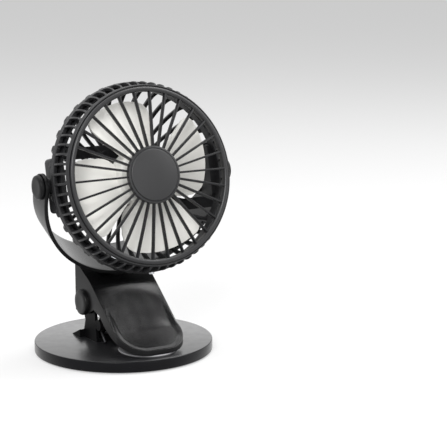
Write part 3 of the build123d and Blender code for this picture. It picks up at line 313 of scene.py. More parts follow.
BOARD_GREEN = Finish("board_green", (0.02, 0.16, 0.06), 0.4, Grain.POLISHED, depth_mm=0.004)
CELL_FOIL = Finish(
    "cell_foil", (0.50, 0.51, 0.53), 0.32, Grain.RUBBER, metallic=0.9, depth_mm=0.02)
SWITCH_BLACK = Finish("switch_black", (0.03, 0.03, 0.03), 0.5, depth_mm=0.012)
NYLON = Finish("white_nylon", (0.62, 0.60, 0.56), 0.45, Grain.RUBBER)
LIGHT_CLEAR = Finish(
    "clear_light", (0.80, 0.86, 0.90), 0.15, Grain.POLISHED, transmission=0.6, depth_mm=0.002)

NODE_FINISHES: dict[str, Finish] = {
    "base_plate": BASE_BLACK, "weight_plate": WEIGHT_IRON, "base_cover": SATIN_SHELL,
    "anti_slip_mat": MAT_BLACK, "base_screws": SCREW_STEEL, "jaw_pad": PAD_GREY,
    "hinge_bracket": BRACKET_BLACK, "bracket_screws": SCREW_STEEL,
    "spring_post": BRACKET_BLACK, "torsion_springs": SPRING_STEEL, "clip_arm": GLOSS_BLACK,
    "upper_jaw_pad": PAD_GREY, "hinge_pin": SCREW_STEEL, "hinge_caps": GLOSS_BLACK,
    "yoke": GLOSS_BLACK, "swivel_bolt": SCREW_STEEL, "swivel_washer": NYLON,
    "nut_washer": NYLON, "swivel_nut": SCREW_STEEL, "pivot_caps": GLOSS_BLACK,
    "front_grille": SATIN_SHELL, "centre_disc": DISC_GREY, "rear_shell": SATIN_SHELL,
    "grille_screw": SCREW_STEEL, "motor": MOTOR_STEEL, "motor_bush": BUSH_BRASS,
    "rear_housing": SATIN_SHELL, "housing_screws": SCREW_STEEL, "battery_cell": CELL_FOIL,
    "circuit_board": BOARD_GREEN, "tact_switch": SWITCH_BLACK,
    "charging_socket": SCREW_STEEL, "indicator_light": LIGHT_CLEAR,
    "pivot_screws": SCREW_STEEL, "pivot_washers": NYLON, "impeller": CREAM,
    "motor_shaft": SCREW_STEEL, "power_button": SATIN_SHELL,
}


def dress_nodes() -> None:
    """Give every CAD node its finish."""
    for name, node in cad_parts.items():
        node.data.materials.clear()
        node.data.materials.append(NODE_FINISHES[name].material())
        LOG.info("dressed node %s", name)


def shade_or_sheen_finish(piece: Object, finish: Finish, chosen: Callable[[MeshPolygon], bool]) -> None:
    """Give some faces of a piece a lighter or darker copy of its finish, which paints sheen or
    shade on them.

    Args:
        piece: The piece.
        finish: The lighter or darker copy.
        chosen: Whether a face takes it.
    """
    piece.data.materials.append(finish.material())
    for face in piece.data.polygons:
        if chosen(face):
            face.material_index = 1


# ------------------------------------------------------------------ shaping
def verts_in(parts: Iterable) -> list[BMVert]:
    """The vertices among mixed parts of a mesh."""
    return [part for part in parts if isinstance(part, BMVert)]


def edges_in(parts: Iterable) -> list[BMEdge]:
    """The edges among mixed parts of a mesh."""
    return [part for part in parts if isinstance(part, BMEdge)]


def linked(verts: Sequence[BMVert]) -> list[BMVert | BMEdge | BMFace]:
    """Find the edges and faces that meet at some vertices.

    Args:
        verts: The vertices.

    Returns:
        The vertices, the edges and the faces.
    """
    edges = dict.fromkeys(edge for vert in verts for edge in vert.link_edges)
    faces = dict.fromkeys(face for vert in verts for face in vert.link_faces)
    return [*verts, *edges, *faces]


def sheet(rows: int, columns: int, place: Callable[[float, float], Point]) -> BMesh:
    """Make a grid whose points are laid by a rule.

    Args:
        rows: Faces along the first direction.
        columns: Faces along the second direction.
        place: Gives a point for two shares from 0 to 1.

    Returns:
        The sheet.
    """
    made = bmesh.new()
    grid = bmesh.ops.create_grid(made, x_segments=rows, y_segments=columns, size=0.5)
    for vert in grid["verts"]:
        vert.co = place(vert.co.x + 0.5, vert.co.y + 0.5)
    return made


def soften(mesh: BMesh, edges: Sequence[BMEdge], offset: float, rings: int) -> None:
    """Round some edges of a mesh, so far from each edge and with so many faces across."""
    bmesh.ops.bevel(mesh, geom=edges, offset=offset, offset_type="OFFSET", segments=rings,
                    profile=0.5, affect="EDGES", clamp_overlap=True, material=-1)


def face_out(mesh: BMesh, outward: Callable[[BMFace], float]) -> None:
    """Make the faces of a sheet agree and look outward.

    Args:
        mesh: The sheet.
        outward: How far a face looks outward, or inward where it is negative.
    """
    bmesh.ops.recalc_face_normals(mesh, faces=mesh.faces)
    if sum(outward(face) for face in mesh.faces) < 0:
        bmesh.ops.reverse_faces(mesh, faces=mesh.faces)


def thicken(mesh: BMesh, wall: float, ease: float, rings: int) -> None:
    """Give a sheet a wall with rounded edges.

    Args:
        mesh: The sheet.
        wall: Thickness of the wall.
        ease: Rounding of its edges.
        rings: Faces across the rounding.
    """
    bmesh.ops.solidify(mesh, geom=mesh.faces[:], thickness=wall)
    edges = [e for e in mesh.edges if len(e.link_faces) == 2 and e.calc_face_angle() > SHARP]
    soften(mesh, edges, ease, rings)


@dataclass
class Workpiece:
    """A mesh under work, in millimetres in its sub-assembly's frame."""

    name: str
    place: Matrix = field(default_factory=Matrix)
    mesh: BMesh = field(default_factory=bmesh.new)

    def turn(self, profile: Profile, steps: int, axis: Axis = Axis.Z,
             ease: float = 0.0) -> list[BMVert]:
        """Turn an outline about an axis: open where it starts on the axis, else closed.

        Args:
            profile: (radius, height) points of the outline.
            steps: Faces round the turn.
            axis: Axis that it turns about.
            ease: Rounding of the outline's corners.

        Returns:
            The vertices that were added.
        """
        made = bmesh.new()
        verts = [made.verts.new((radius, 0.0, height)) for radius, height in profile]
        ring = verts[1:] + (verts[:1] if profile[0][0] > 0 else [])
        for start, end in zip(verts, ring):
            made.edges.new((start, end))
        if ease:
            corners = [vert for vert in verts if vert.co.x > ease]
            bmesh.ops.bevel(made, geom=corners, offset=ease, offset_type="OFFSET", segments=3,
                            profile=0.5, affect="VERTICES", material=-1)
        bmesh.ops.spin(made, geom=made.verts[:] + made.edges[:], cent=(0, 0, 0),
                       axis=(0, 0, 1), dvec=(0, 0, 0), angle=math.tau, steps=steps,
                       use_merge=True, use_duplicate=False)
        bmesh.ops.remove_doubles(made, verts=made.verts, dist=MELD)
        if axis is Axis.X:
            quarter = Matrix.Rotation(math.radians(90), 4, "Y")
            bmesh.ops.transform(made, matrix=quarter, verts=made.verts)
        return self.take(made)

    def bar(self, section: Sequence[Point], sweep: Point, ease: float,
            rings: int) -> list[BMVert]:
        """Add a bar: a flat outline extruded along a straight line.

        Args:
            section: Corners of the outline.
            sweep: How far and which way it is extruded.
            ease: Rounding of its edges.
            rings: Faces across each rounded edge.

        Returns:
            The vertices that were added.
        """
        made = bmesh.new()
        outline = made.faces.new([made.verts.new(corner) for corner in section])
        end = bmesh.ops.extrude_face_region(made, geom=[outline])["geom"]
        bmesh.ops.translate(made, verts=verts_in(end), vec=sweep)
        bmesh.ops.recalc_face_normals(made, faces=made.faces)
        soften(made, made.edges[:], ease, rings)
        return self.take(made)

    def rail(self, stations: Sequence[Station], ease: float, rings: int = 2) -> list[BMVert]:
        """Add a curved bar: at each station a flat section between two points.

        Args:
            stations: The outer point, the inner point and half the width at each place.
            ease: Rounding of the long edges.
            rings: Faces across each rounded edge.

        Returns:
            The vertices that were added.
        """
        made = bmesh.new()
        last = len(stations) - 1
        grid = bmesh.ops.create_grid(made, x_segments=last, y_segments=4, size=0.5)
        for vert in grid["verts"]:
            outer, inner, half = stations[round((vert.co.x + 0.5) * last)]
            corner = round((vert.co.y + 0.5) * 4) % 4
            point = outer if corner < 2 else inner
            vert.co = (point.x, half if corner in (1, 2) else -half, point.z)
        bmesh.ops.remove_doubles(made, verts=made.verts, dist=MELD)
        open_edges = [edge for edge in made.edges if edge.is_boundary]
        ends = bmesh.ops.holes_fill(made, edges=open_edges)["faces"]
        bmesh.ops.recalc_face_normals(made, faces=made.faces)
        closing = {edge for face in ends for edge in face.edges}
        long_edges = [edge for edge in made.edges
                      if edge not in closing and edge.calc_face_angle(0.0) > SHARP]
        soften(made, long_edges, ease, rings)
        return self.take(made)

    def take(self, made: BMesh) -> list[BMVert]:
        """Add a finished part to the mesh.

        Args:
            made: The part, which is freed.

        Returns:
            The vertices that were added.
        """
        bmesh.ops.recalc_face_normals(made, faces=made.faces)
        loose = bpy.data.meshes.new("loose")
        made.to_mesh(loose)
        made.free()
        before = len(self.mesh.verts)
        self.mesh.from_mesh(loose)
        bpy.data.meshes.remove(loose)
        self.mesh.verts.ensure_lookup_table()
        return self.mesh.verts[before:]

    def repeat(self, verts: Sequence[BMVert], count: int, start: float = 0.0) -> None:
        """Repeat a part at equal angles round the Z axis.

        Args:
            verts: The part's vertices.
            count: How many there are in all.
            start: Angle in degrees that the first is turned to.
        """
        bmesh.ops.rotate(self.mesh, verts=verts, cent=(0, 0, 0),
                         matrix=Matrix.Rotation(math.radians(start), 3, "Z"))
        bmesh.ops.spin(self.mesh, geom=linked(verts), cent=(0, 0, 0), axis=(0, 0, 1),
                       dvec=(0, 0, 0), angle=math.tau * (count - 1) / count,
                       steps=count - 1, use_duplicate=True)

    def mirrored(self, verts: Sequence[BMVert]) -> None:
        """Add a part's mirror image across X = 0.

        Args:
            verts: The part's vertices.
        """
        copy = bmesh.ops.duplicate(self.mesh, geom=linked(verts))["geom"]
        faces = [part for part in copy if isinstance(part, BMFace)]
        bmesh.ops.scale(self.mesh, vec=(-1, 1, 1), verts=verts_in(copy))
        bmesh.ops.reverse_faces(self.mesh, faces=faces)

    def done(self, body: Body | None, finish: Finish, slot: str, replaces: Sequence[str],
             sharp: float = 42.0) -> Object:
        """Turn the mesh into a piece of the fan.

        Args:
            body: The body that it rides on, or None for none.
            finish: Its finish.
            slot: The record's material slot; not used.
            replaces: CAD nodes that it stands for.
            sharp: Edges above this angle in degrees stay sharp.

        Returns:
            The piece.
        """
        mesh = bpy.data.meshes.new(self.name)
        bmesh.ops.transform(self.mesh, matrix=TO_METRES @ self.place, verts=self.mesh.verts)
        self.mesh.to_mesh(mesh)
        self.mesh.free()
        mesh.polygons.foreach_set("use_smooth", [True] * len(mesh.polygons))
        mesh.set_sharp_from_angle(angle=math.radians(sharp))
        mesh.materials.append(finish.material())
        piece = put_in_scene(self.name, mesh)
        if body:
            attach(piece, body.value)
        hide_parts(*replaces)
        LOG.info("made %s with %d faces", self.name, len(mesh.polygons))
        return piece


def put_in_scene(name: str, data: bpy.types.ID | None) -> Object:
    """Put a new object in the scene.

    Args:
        name: Its name.
        data: Its mesh, lamp or camera.

    Returns:
        The object.
    """
    made = bpy.data.objects.new(name, data)
    bpy.context.scene.collection.objects.link(made)
    return made


def smooth_step(value: float) -> float:
    """A share from 0 to 1 that starts and ends gently."""
    share = max(0.0, min(1.0, value))
    return share * share * (3 - 2 * share)


def read_off(line: Profile, place: float, gently: bool = False) -> float:
    """Read a value off a line of (place, value) points.

    Args:
        line: The points, in the order of their places.
        place: Where it is read.
        gently: Whether the value starts and ends each run gently.

    Returns:
        The value there, or the nearest end's value off the line.
    """
    for (start, first), (end, last) in zip(line, line[1:]):
        share = (place - start) / (end - start)
        if 0.0 <= share <= 1.0:
            return first + (last - first) * (smooth_step(share) if gently else share)
    return min(line, key=lambda point: abs(point[0] - place))[1]


@dataclass(frozen=True)
class RoundedLine:
    """A line of straight runs in (y, z) whose corners are rounded, y falling along it."""

    points: tuple[tuple[float, float], ...]
    radius: float

    def height(self, y: float) -> float:
        """Height of the line.

        Args:
            y: Place along the line.

        Returns:
            The height there.
        """
        for before, corner, after in zip(self.points, self.points[1:], self.points[2:]):
            slope_in = math.atan2(before[1] - corner[1], before[0] - corner[0])
            slope_out = math.atan2(corner[1] - after[1], corner[0] - after[0])
            bend = slope_out - slope_in
            reach = self.radius * math.tan(abs(bend) / 2)
            y_in = corner[0] + reach * math.cos(slope_in)
            if corner[0] - reach * math.cos(slope_out) <= y <= y_in:
                side = math.copysign(self.radius, -bend)
                centre_y = y_in - side * math.sin(slope_in)
                centre_z = corner[1] + reach * math.sin(slope_in) + side * math.cos(slope_in)
                drop = math.sqrt(max(0.0, self.radius ** 2 - (y - centre_y) ** 2))
                return centre_z - math.copysign(drop, side)
        return read_off(self.points, y)


# ------------------------------------------------------------------ base
@dataclass
class BaseStand:
    """The round base with its soft jaw pad."""

    radius: float = 62.0
    height: float = 8.0
    wall: float = 2.2
    under: float = 0.45
    edge: float = 0.8
    pad_radius: float = 20.0
    pad_height: float = 0.8
    pad_sink: float = 0.05
    pad_y: float = -35.0
    sheen_normal_z: float = 0.9

    def build(self) -> None:
        """Make the base's pieces."""
        self.plate()
        self.jaw_pad()

    def plate(self) -> None:
        """The turned top plate with its skirt, the flat top in a lighter, coated copy of the
        black as a painted sheen.
        """
        inner = self.radius - self.wall
        roof = self.height - self.wall
        piece = Workpiece("base_plate_top")
        piece.turn([
            (0.0, self.height), (self.radius, self.height), (self.radius, self.under),
            (inner, self.under), (inner, roof), (0.0, roof),
        ], steps=160, ease=self.edge)
        plate = piece.done(Body.BASE, BASE_BLACK, "black_base", ["base_plate"], sharp=35)
        # Faces that look up take the lighter copy: a painted sheen on the base's top.
        shade_or_sheen_finish(plate, BASE_TOP_SHEEN, lambda face: face.normal.z > self.sheen_normal_z)

    def jaw_pad(self) -> None:
        """The grey pad under the paddle's tip."""
        top, foot = self.height + self.pad_height, self.height - self.pad_sink
        piece = Workpiece("jaw_pad_disc", Matrix.Translation((0.0, self.pad_y, 0.0)))
        piece.turn([(0.0, top), (self.pad_radius, top), (self.pad_radius, foot), (0.0, foot)],
                   steps=72, ease=self.pad_height / 2)
        piece.done(Body.BASE, PAD_GREY, "pad_grey", ["jaw_pad"], sharp=35)


@dataclass
class ClipSprings:
    """The two torsion springs, each a coil with one leg under the arm and one on the base."""

    centre_y: float = -4.0
    centre_z: float = 20.5
    mean_radius: float = 5.65
    wire_radius: float = 0.85
    wire_sides: int = 14
    pitch: float = 2.2
    outer_x: float = 18.0
    leg_angle: float = -62.0
    foot_angle: float = -50.0
    turns: int = 3
    turn_steps: int = 108
    rear_y: float = 21.65
    foot_z: float = 9.15
    leg_least: float = 8.0
    leg_cuts: int = 10
    bend_start: tuple[float, float] = (4.0, 19.0)
    bend_end: tuple[float, float] = (21.5, 27.6)

    def wire_at(self, x: float, degrees: float) -> tuple[Vector, Vector]:
        """Follow the coil's wire.

        Args:
            x: Place across the fan.
            degrees: Angle about the coil's axis.

        Returns:
            The middle of the wire there, and the way that it runs.
        """
        angle = math.radians(degrees)
        slope = self.pitch / (math.tau * self.mean_radius)
        across, up = math.cos(angle), math.sin(angle)
        middle = Vector((x, self.centre_y + self.mean_radius * across,
                         self.centre_z + self.mean_radius * up))
        return middle, Vector((slope, up, -across)).normalized()

    def build(self) -> None:
        """Make both springs, each with legs reaching to the arm and the base."""
        total = self.turns + (self.leg_angle - self.foot_angle) / 360
        start, way = self.wire_at(self.outer_x - self.pitch * total, self.leg_angle)
        end, end_way = self.wire_at(self.outer_x, self.leg_angle - 360 * total)
        section = Matrix.Translation(start) @ way.to_track_quat("Z", "X").to_matrix().to_4x4()
        made = bmesh.new()
        ring = bmesh.ops.create_circle(made, cap_ends=True, segments=self.wire_sides,
                                       radius=self.wire_radius, matrix=section)["verts"]
        leg = bmesh.ops.extrude_edge_only(made, edges=edges_in(linked(ring)))["geom"]
        bmesh.ops.translate(made, verts=ring, vec=way * ((self.rear_y - start.y) / way.y))
        steps = round(self.turn_steps * total)
        coil = bmesh.ops.spin(
            made, geom=verts_in(leg) + edges_in(leg), axis=(-1, 0, 0),
            cent=(0, self.centre_y, self.centre_z), dvec=(self.pitch * total / steps, 0, 0),
            angle=math.tau * total, steps=steps, use_merge=False, use_duplicate=False)
        foot = bmesh.ops.extrude_edge_only(made, edges=edges_in(coil["geom_last"]))["geom"]
        run = (self.foot_z - end.z) / end_way.z
        bmesh.ops.translate(made, verts=verts_in(foot), vec=end_way * run)
        bmesh.ops.holes_fill(made, edges=edges_in(foot))
        bmesh.ops.remove_doubles(made, verts=made.verts, dist=MELD)
        legs = [edge for edge in made.edges if edge.calc_length() > self.leg_least]
        bmesh.ops.subdivide_edges(made, edges=legs, cuts=self.leg_cuts)
        piece = Workpiece("clip_springs")
        piece.mirrored(piece.take(made))
        spring = piece.done(None, SPRING_STEEL, "spring_steel", ["torsion_springs"], sharp=50)
        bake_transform(spring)


# ------------------------------------------------------------------ clip arm
@dataclass
class ClipArm:
    """The arm: a folded shell whose front is a dished thumb paddle, with its hinge caps."""

    width: float = 49.0
    wall: float = 2.2
    top_edge: float = 0.9
    rear_y: float = 25.0
    tip_y: float = -54.0
    tip_radius: float = 18.0
    top: RoundedLine = RoundedLine(
        ((25.0, 61.648), (2.4, 50.3801), (-33.0, 23.0588), (-54.0, 12.127)), 26.0)
    low_edge: RoundedLine = RoundedLine(
        ((25.0, 26.0), (6.3, 26.8), (-2.5, 31.7), (-12.0, 28.9), (-20.0, 22.3),
         (-30.0, 17.1), (-43.0, 13.4), (-54.0, 9.1)), 3.0)
    straight_rows: float = 0.72
    crowding: float = 0.35
    rim: float = 1.2
    dish_depth: float = 1.3
    dish_start: float = 0.72
    dish_slope: float = 4.0
    dish_top_y: float = -5.0
    dish_top_slope: float = 16.0
    arch: float = 9.0
    tip_solid: float = 11.0
    tip_height: float = 1.2
    tip_inset: tuple[float, float] = (0.4, 0.3)
    cap_radius: float = 9.0
    cap_height: float = 3.0
    hinge_y: float = 12.7
    hinge_z: float = 34.0
    seat_radius: float = 10.4
    seat_foot: float = -75.93
    seat_top: float = -71.3
    seat_ease: float = 0.5
    sheen_normal_z: float = 0.15

    @property
    def bend_y(self) -> float:
        """Where the paddle's straight sides turn into the tip's round corners."""
        return self.tip_y + self.tip_radius

    def build(self) -> None:
        """Make the arm's pieces."""
        self.shell()
        self.caps()

    def half_width(self, y: float) -> float:
        """Half the paddle's width.

        Args:
            y: Place along the paddle.

        Returns:
            The half width there.
        """
        past = max(0.0, self.bend_y - y)
        fall = max(0.0, self.tip_radius ** 2 - past ** 2)
        return self.width / 2 - self.tip_radius + math.sqrt(fall)

    def row_y(self, share: float) -> float:
        """Place of a row of points, the rows closer together in the tip's round corners.

        Args:
            share: Share of the rows behind it.

        Returns:
            Its place along the paddle.
        """
        if share <= self.straight_rows:
            run = self.bend_y - self.rear_y
            return self.rear_y + run * share / self.straight_rows
        turn = (share - self.straight_rows) / (1 - self.straight_rows) * math.pi / 2
        return self.bend_y - self.tip_radius * math.sin(turn)

    def dish(self, x: float, y: float) -> float:
        """Depth of the dish, which ends under an arch at the top and inside a rim elsewhere.

        Args:
            x: Place across the paddle.
            y: Place along it.

        Returns:
            The depth there.
        """
        half = self.width / 2
        past_corner = abs(x) - (half - self.tip_radius)
        if y >= self.bend_y:
            edge = half - abs(x)
        elif past_corner > 0:
            edge = self.tip_radius - math.hypot(past_corner, y - self.bend_y)
        else:
            edge = y - self.tip_y
        arch_radius = ((half - self.rim) ** 2 + self.arch ** 2) / (2 * self.arch)
        arch_y = self.dish_top_y - arch_radius
        top_gap = arch_radius
        if y > arch_y:
            top_gap -= math.hypot(x, y - arch_y)
        side = smooth_step((edge - self.dish_start) / self.dish_slope)
        return self.dish_depth * side * smooth_step(top_gap / self.dish_top_slope)

    def on_top(self, along: float, across: float) -> Point:
        """A point of the arm's top.

        Args:
            along: Share of the way from the rear to the tip.
            across: Share of the way across, which crowds towards the sides.

        Returns:
            The point.
        """
        y = self.row_y(along)
        share = across * 2 - 1
        x = self.half_width(y) * share * (1 + self.crowding * (1 - share * share))
        return x, y, self.top.height(y) - self.dish(x, y)

    def under_tip(self, along: float, across: float) -> Point:
        """A point of the solid tip's underside.

        Args:
            along: Share of the way to the tip.
            across: Share of the way across.

        Returns:
            The point.
        """
        inset_x, inset_y = self.tip_inset
        run = (self.tip_solid - inset_y) * math.sin(along * math.pi / 2)
        y = self.tip_y + self.tip_solid - run
        x = (self.half_width(y) - inset_x) * (across * 2 - 1)
        return x, y, self.low_edge.height(y) + BITE

    def shell(self) -> None:
        """The folded shell: paddle, cheeks, rear wall, solid tip and the swivel's seat."""
        mesh = sheet(96, 56, self.on_top)
        rim = [edge for edge in mesh.edges if edge.is_boundary]
        for vert in verts_in(bmesh.ops.extrude_edge_only(mesh, edges=rim)["geom"]):
            vert.co.z = self.low_edge.height(vert.co.y)
        face_out(mesh, lambda face: face.normal.z * face.calc_area())
        soften(mesh, [edge for edge in rim if edge.is_valid], self.top_edge, 4)
        bmesh.ops.solidify(mesh, geom=mesh.faces[:], thickness=self.wall)
        piece = Workpiece("clip_arm_shell")
        piece.take(mesh)
        tip = sheet(16, 16, self.under_tip)
        raised = bmesh.ops.extrude_face_region(tip, geom=tip.faces[:])["geom"]
        bmesh.ops.translate(tip, verts=verts_in(raised), vec=(0, 0, self.tip_height))
        piece.take(tip)
        radius, top, foot, ease = self.seat_radius, self.seat_top, self.seat_foot, self.seat_ease
        seat = piece.turn([
            (0.0, top), (radius - ease, top), (radius, top - ease), (radius, foot), (0.0, foot),
        ], steps=72)
        bmesh.ops.transform(piece.mesh, matrix=YOKE, verts=seat)
        arm = piece.done(Body.CLIP, SHADED_SIDE_BLACK, "black_gloss", ["clip_arm"], sharp=38)
        # Faces that look up take the glossier copy, a painted sheen along the paddle and its
        # edge; the cheeks keep the duller copy as painted shade.
        shade_or_sheen_finish(arm, GLOSS_BLACK, lambda face: face.normal.z > self.sheen_normal_z)

    def caps(self) -> None:
        """The two hinge caps outside the cheeks."""
        half = self.width / 2
        radius, out, foot = self.cap_radius, half + self.cap_height, half - BITE
        place = Matrix.Translation((0.0, self.hinge_y, self.hinge_z))
        piece = Workpiece("hinge_cap_pair", place)
        cap = piece.turn([
            (0.0, out - 0.25), (radius * 0.55, out - 0.15), (radius - 1.6, out),
            (radius - 0.5, out - 0.45), (radius, out - 1.5), (radius, foot), (0.0, foot),
        ], steps=64, axis=Axis.X)
        piece.mirrored(cap)
        # The caps take the duller copy of the black: painted shade.
        piece.done(Body.CLIP, SHADED_SIDE_BLACK, "black_gloss", ["hinge_caps"])


# ------------------------------------------------------------------ yoke
@dataclass
class Yoke:
    """The half-ring yoke with its swivel boss, ear seats and pivot caps."""

    out_radius: float = 69.25
    thickness: float = 2.5
    edge: float = 0.55
    low_half: float = 15.0
    end_half: float = 9.0
    ear_rows: int = 10
    ear_turn: float = 80.0
    ring_rows: int = 100
    boss_radius: float = 9.6
    boss_out: float = 70.3
    boss_ease: float = 0.4
    boss_sink: float = 1.0
    seat_radius: float = 8.2
    cap_out: float = 72.5

    def build(self) -> None:
        """Make the yoke's pieces."""
        self.band()
        self.caps()

    def on_band(self, along: float, across: float) -> Point:
        """A point of the band's outer face.

        Args:
            along: Share of the way from the right ear to the left one.
            across: Share of the way across the band.

        Returns:
            The point.
        """
        radius, end = self.out_radius, self.end_half
        rows = self.ring_rows + 2 * self.ear_rows
        row = along * rows
        from_end = min(row, rows - row)
        if from_end < self.ear_rows:
            turn = math.radians(self.ear_turn) * (1 - from_end / self.ear_rows)
            x = radius if row < rows / 2 else -radius
            z, half = end * math.sin(turn), end * math.cos(turn)
        else:
            turn = -math.pi * (row - self.ear_rows) / self.ring_rows
            x, z = radius * math.cos(turn), radius * math.sin(turn)
            half = end - (self.low_half - end) * z / radius
        return x, half * (across * 2 - 1), z

    def band(self) -> None:
        """The bent band, its rounded ears and its bosses, the inside in a glossier copy of the
        black as a painted reflection.
        """
        piece = Workpiece("yoke_band", YOKE)
        mesh = sheet(self.ring_rows + 2 * self.ear_rows, 12, self.on_band)
        face_out(mesh, lambda face: face.normal.dot(face.calc_center_median()))
        thicken(mesh, self.thickness, self.edge, 3)
        piece.take(mesh)
        inner = self.out_radius - self.thickness
        radius, ease = self.boss_radius, self.boss_ease
        low, foot = -self.boss_out, -inner - self.boss_sink
        piece.turn([
            (0.0, low), (radius - ease, low), (radius, low + ease), (radius, foot), (0.0, foot),
        ], steps=72)
        seat = piece.turn([
            (0.0, self.out_radius), (self.seat_radius, self.out_radius),
            (self.seat_radius, inner), (0.0, inner),
        ], steps=48, axis=Axis.X)
        piece.mirrored(seat)
        yoke = piece.done(Body.YOKE, SHADED_SIDE_BLACK, "black_gloss", ["yoke"], sharp=40)
        middle = TILT_AXIS * MM
        # Faces that look in toward the tilt axis take the glossier copy: a painted reflection on
        # the yoke's inside, the outside keeping the duller copy as painted shade.
        shade_or_sheen_finish(yoke, GLOSS_BLACK,
                      lambda face: face.normal.dot(middle - face.center) > 0.0)

    def caps(self) -> None:
        """The round caps over the tilt screws."""
        radius, out, foot = self.seat_radius, self.cap_out, self.out_radius - BITE
        piece = Workpiece("pivot_cap_pair", YOKE)
        cap = piece.turn([
            (0.0, out - 0.2), (radius * 0.6, out - 0.1), (radius - 1.5, out),
            (radius - 0.45, out - 0.45), (radius, out - 1.5),
            (radius, self.out_radius + 0.55), (radius - 0.5, foot), (0.0, foot),
        ], steps=64, axis=Axis.X)
        piece.mirrored(cap)
        # The caps take the duller copy of the black: painted shade.
        piece.done(Body.YOKE, SHADED_SIDE_BLACK, "black_gloss", ["pivot_caps"])


# ------------------------------------------------------------------ head
@dataclass
class FrontGrille:
    """The front ring, its spokes, the slotted wall and the centre disc."""

    face_z: float = 21.5
    ring_in: float = 55.7
    ring_out: float = 60.4
    ring_depth: float = 4.3
    lip_z: float = 20.2
    groove: tuple[float, float] = (59.05, 59.5)
    groove_depth: float = 1.1
    band_radius: float = 64.3
    band_front: float = 5.5
    seam: float = 3.4
    wall: float = 2.5
    ribs: int = 60
    rib_width: float = 1.5
    rib_rows: int = 18
    rib_ease: float = 0.25
    bow: Profile = ((17.6, 60.4), (17.2, 60.8), (15.5, 62.4), (13.0, 63.3), (10.5, 63.9),
                    (8.0, 64.1), (5.5, 63.9), (5.1, 63.85))
    slot_corner: float = 0.9
    spokes: int = 30
    spoke_ends: tuple[float, float] = (1.0, 0.2)
    spoke_width: float = 1.3
    spoke_depth: float = 3.0
    spoke_bite: float = 0.9
    spoke_drop: float = 0.6
    spoke_ease: float = 0.22
    disc_rim: float = 19.2
    disc_radius: float = 17.4
    disc_z: float = 25.0
    disc_recess: float = 0.9
    disc_height: float = 1.4
    disc_gap: float = 0.05
    rim_depth: float = 3.6
    piece: Workpiece = field(default_factory=lambda: Workpiece("front_grille_cage", HEAD))

    def build(self) -> None:
        """Make the grille's pieces."""
        self.ring()
        self.band()
        self.side_ribs()
        self.front_spokes()
        self.rim()
        cage = self.piece.done(Body.HEAD, SATIN_SHELL, "black_shell", ["front_grille"])
        # Spokes and the wall's inside take the darker copy: painted shade.
        shade_or_sheen_finish(cage, SATIN_SPOKE_SHADE, self.in_shade)
        self.disc()

    def in_shade(self, face: MeshPolygon) -> bool:
        """Whether a face is on a spoke or on the inside of the wall, the faces that take the
        darker copy as painted shade.

        Args:
            face: A face of the finished grille.

        Returns:
            True where it is.
        """
        spot = (TO_HEAD @ face.center).to_2d()
        inward = (TO_HEAD.to_3x3() @ face.normal).to_2d().dot(spot) < 0
        near, far = self.disc_rim + self.spoke_ends[0], self.ring_in - self.spoke_ends[1]
        on_spoke = near < spot.length < far
        return on_spoke or (inward and spot.length > self.ring_out)

    def ring(self) -> None:
        """The front ring: rounded bead, groove and outer lip."""
        face, lip, start, end = self.face_z, self.lip_z, self.ring_in, self.ring_out
        back = face - self.ring_depth
        low, high = self.groove
        floor = lip - self.groove_depth
        self.piece.turn([
            (start, back), (start, face - 1.3), (start + 0.35, face - 0.5),
            (start + 1.1, face - 0.08), (start + 1.9, face), (low - 0.9, face - 0.15),
            (low - 0.25, face - 0.6), (low, face - 1.3), (low, floor), (high, floor),
            (high, lip - 0.2), (high + 0.2, lip), (end - EASE, lip), (end, lip - EASE),
            (end + 0.4, back),
        ], steps=180)

    def band(self) -> None:
        """The smooth band behind the slots."""
        radius, front, seam = self.band_radius, self.band_front, self.seam
        self.piece.turn([
            (radius - 0.4 - self.wall, front), (radius - 0.6, front),
            (radius - 0.1, front - 0.5), (radius, front - 0.9), (radius, seam + 0.25),
            (radius - 0.25, seam), (radius - self.wall, seam),
        ], steps=180)

    def side_ribs(self) -> None:
        """The short bowed ribs from the ring to the band, which widen into round slot ends."""
        front, rear = self.face_z - self.ring_depth, self.band_front
        corner = self.slot_corner
        stations = []
        for row in range(self.rib_rows + 1):
            share = 0.5 - 0.5 * math.cos(math.pi * row / self.rib_rows)
            z = front + EASE + (rear - front - 2 * EASE) * share
            left = max(0.0, corner - max(0.0, min(front - z, z - rear)))
            half = self.rib_width / 2 + corner - math.sqrt(max(0.0, corner ** 2 - left ** 2))
            radius = read_off(self.bow, z)
            stations.append((Vector((radius, 0, z)), Vector((radius - self.wall, 0, z)), half))
        self.piece.repeat(self.piece.rail(stations, self.rib_ease, 1), self.ribs)

    def front_spokes(self) -> None:
        """The thin spokes from the disc's rim to the ring."""
        inner_r, outer_r = self.disc_rim - self.spoke_bite, self.ring_in + self.spoke_bite
        inner_z, outer_z = self.disc_z - self.spoke_drop, self.face_z - self.spoke_drop
        half, depth = self.spoke_width / 2, self.spoke_depth
        spoke = self.piece.bar([
            (inner_r, -half, inner_z), (outer_r, -half, outer_z),
            (outer_r, -half, outer_z - depth), (inner_r, -half, inner_z - depth),
        ], (0.0, self.spoke_width, 0.0), self.spoke_ease, 2)
        self.piece.repeat(spoke, self.spokes)

    def rim(self) -> None:
        """The raised rim that holds the centre disc."""
        top, radius, inner = self.disc_z, self.disc_rim, self.disc_radius + self.disc_gap
        seat, low = top - self.disc_recess, top - self.rim_depth
        self.piece.turn([
            (0.0, seat), (inner, seat), (inner, top - 0.35), (inner + EASE, top),
            (radius - 0.6, top), (radius - 0.15, top - 0.2), (radius, top - 0.6),
            (radius, low + EASE), (radius - EASE, low), (0.0, low),
        ], steps=96)

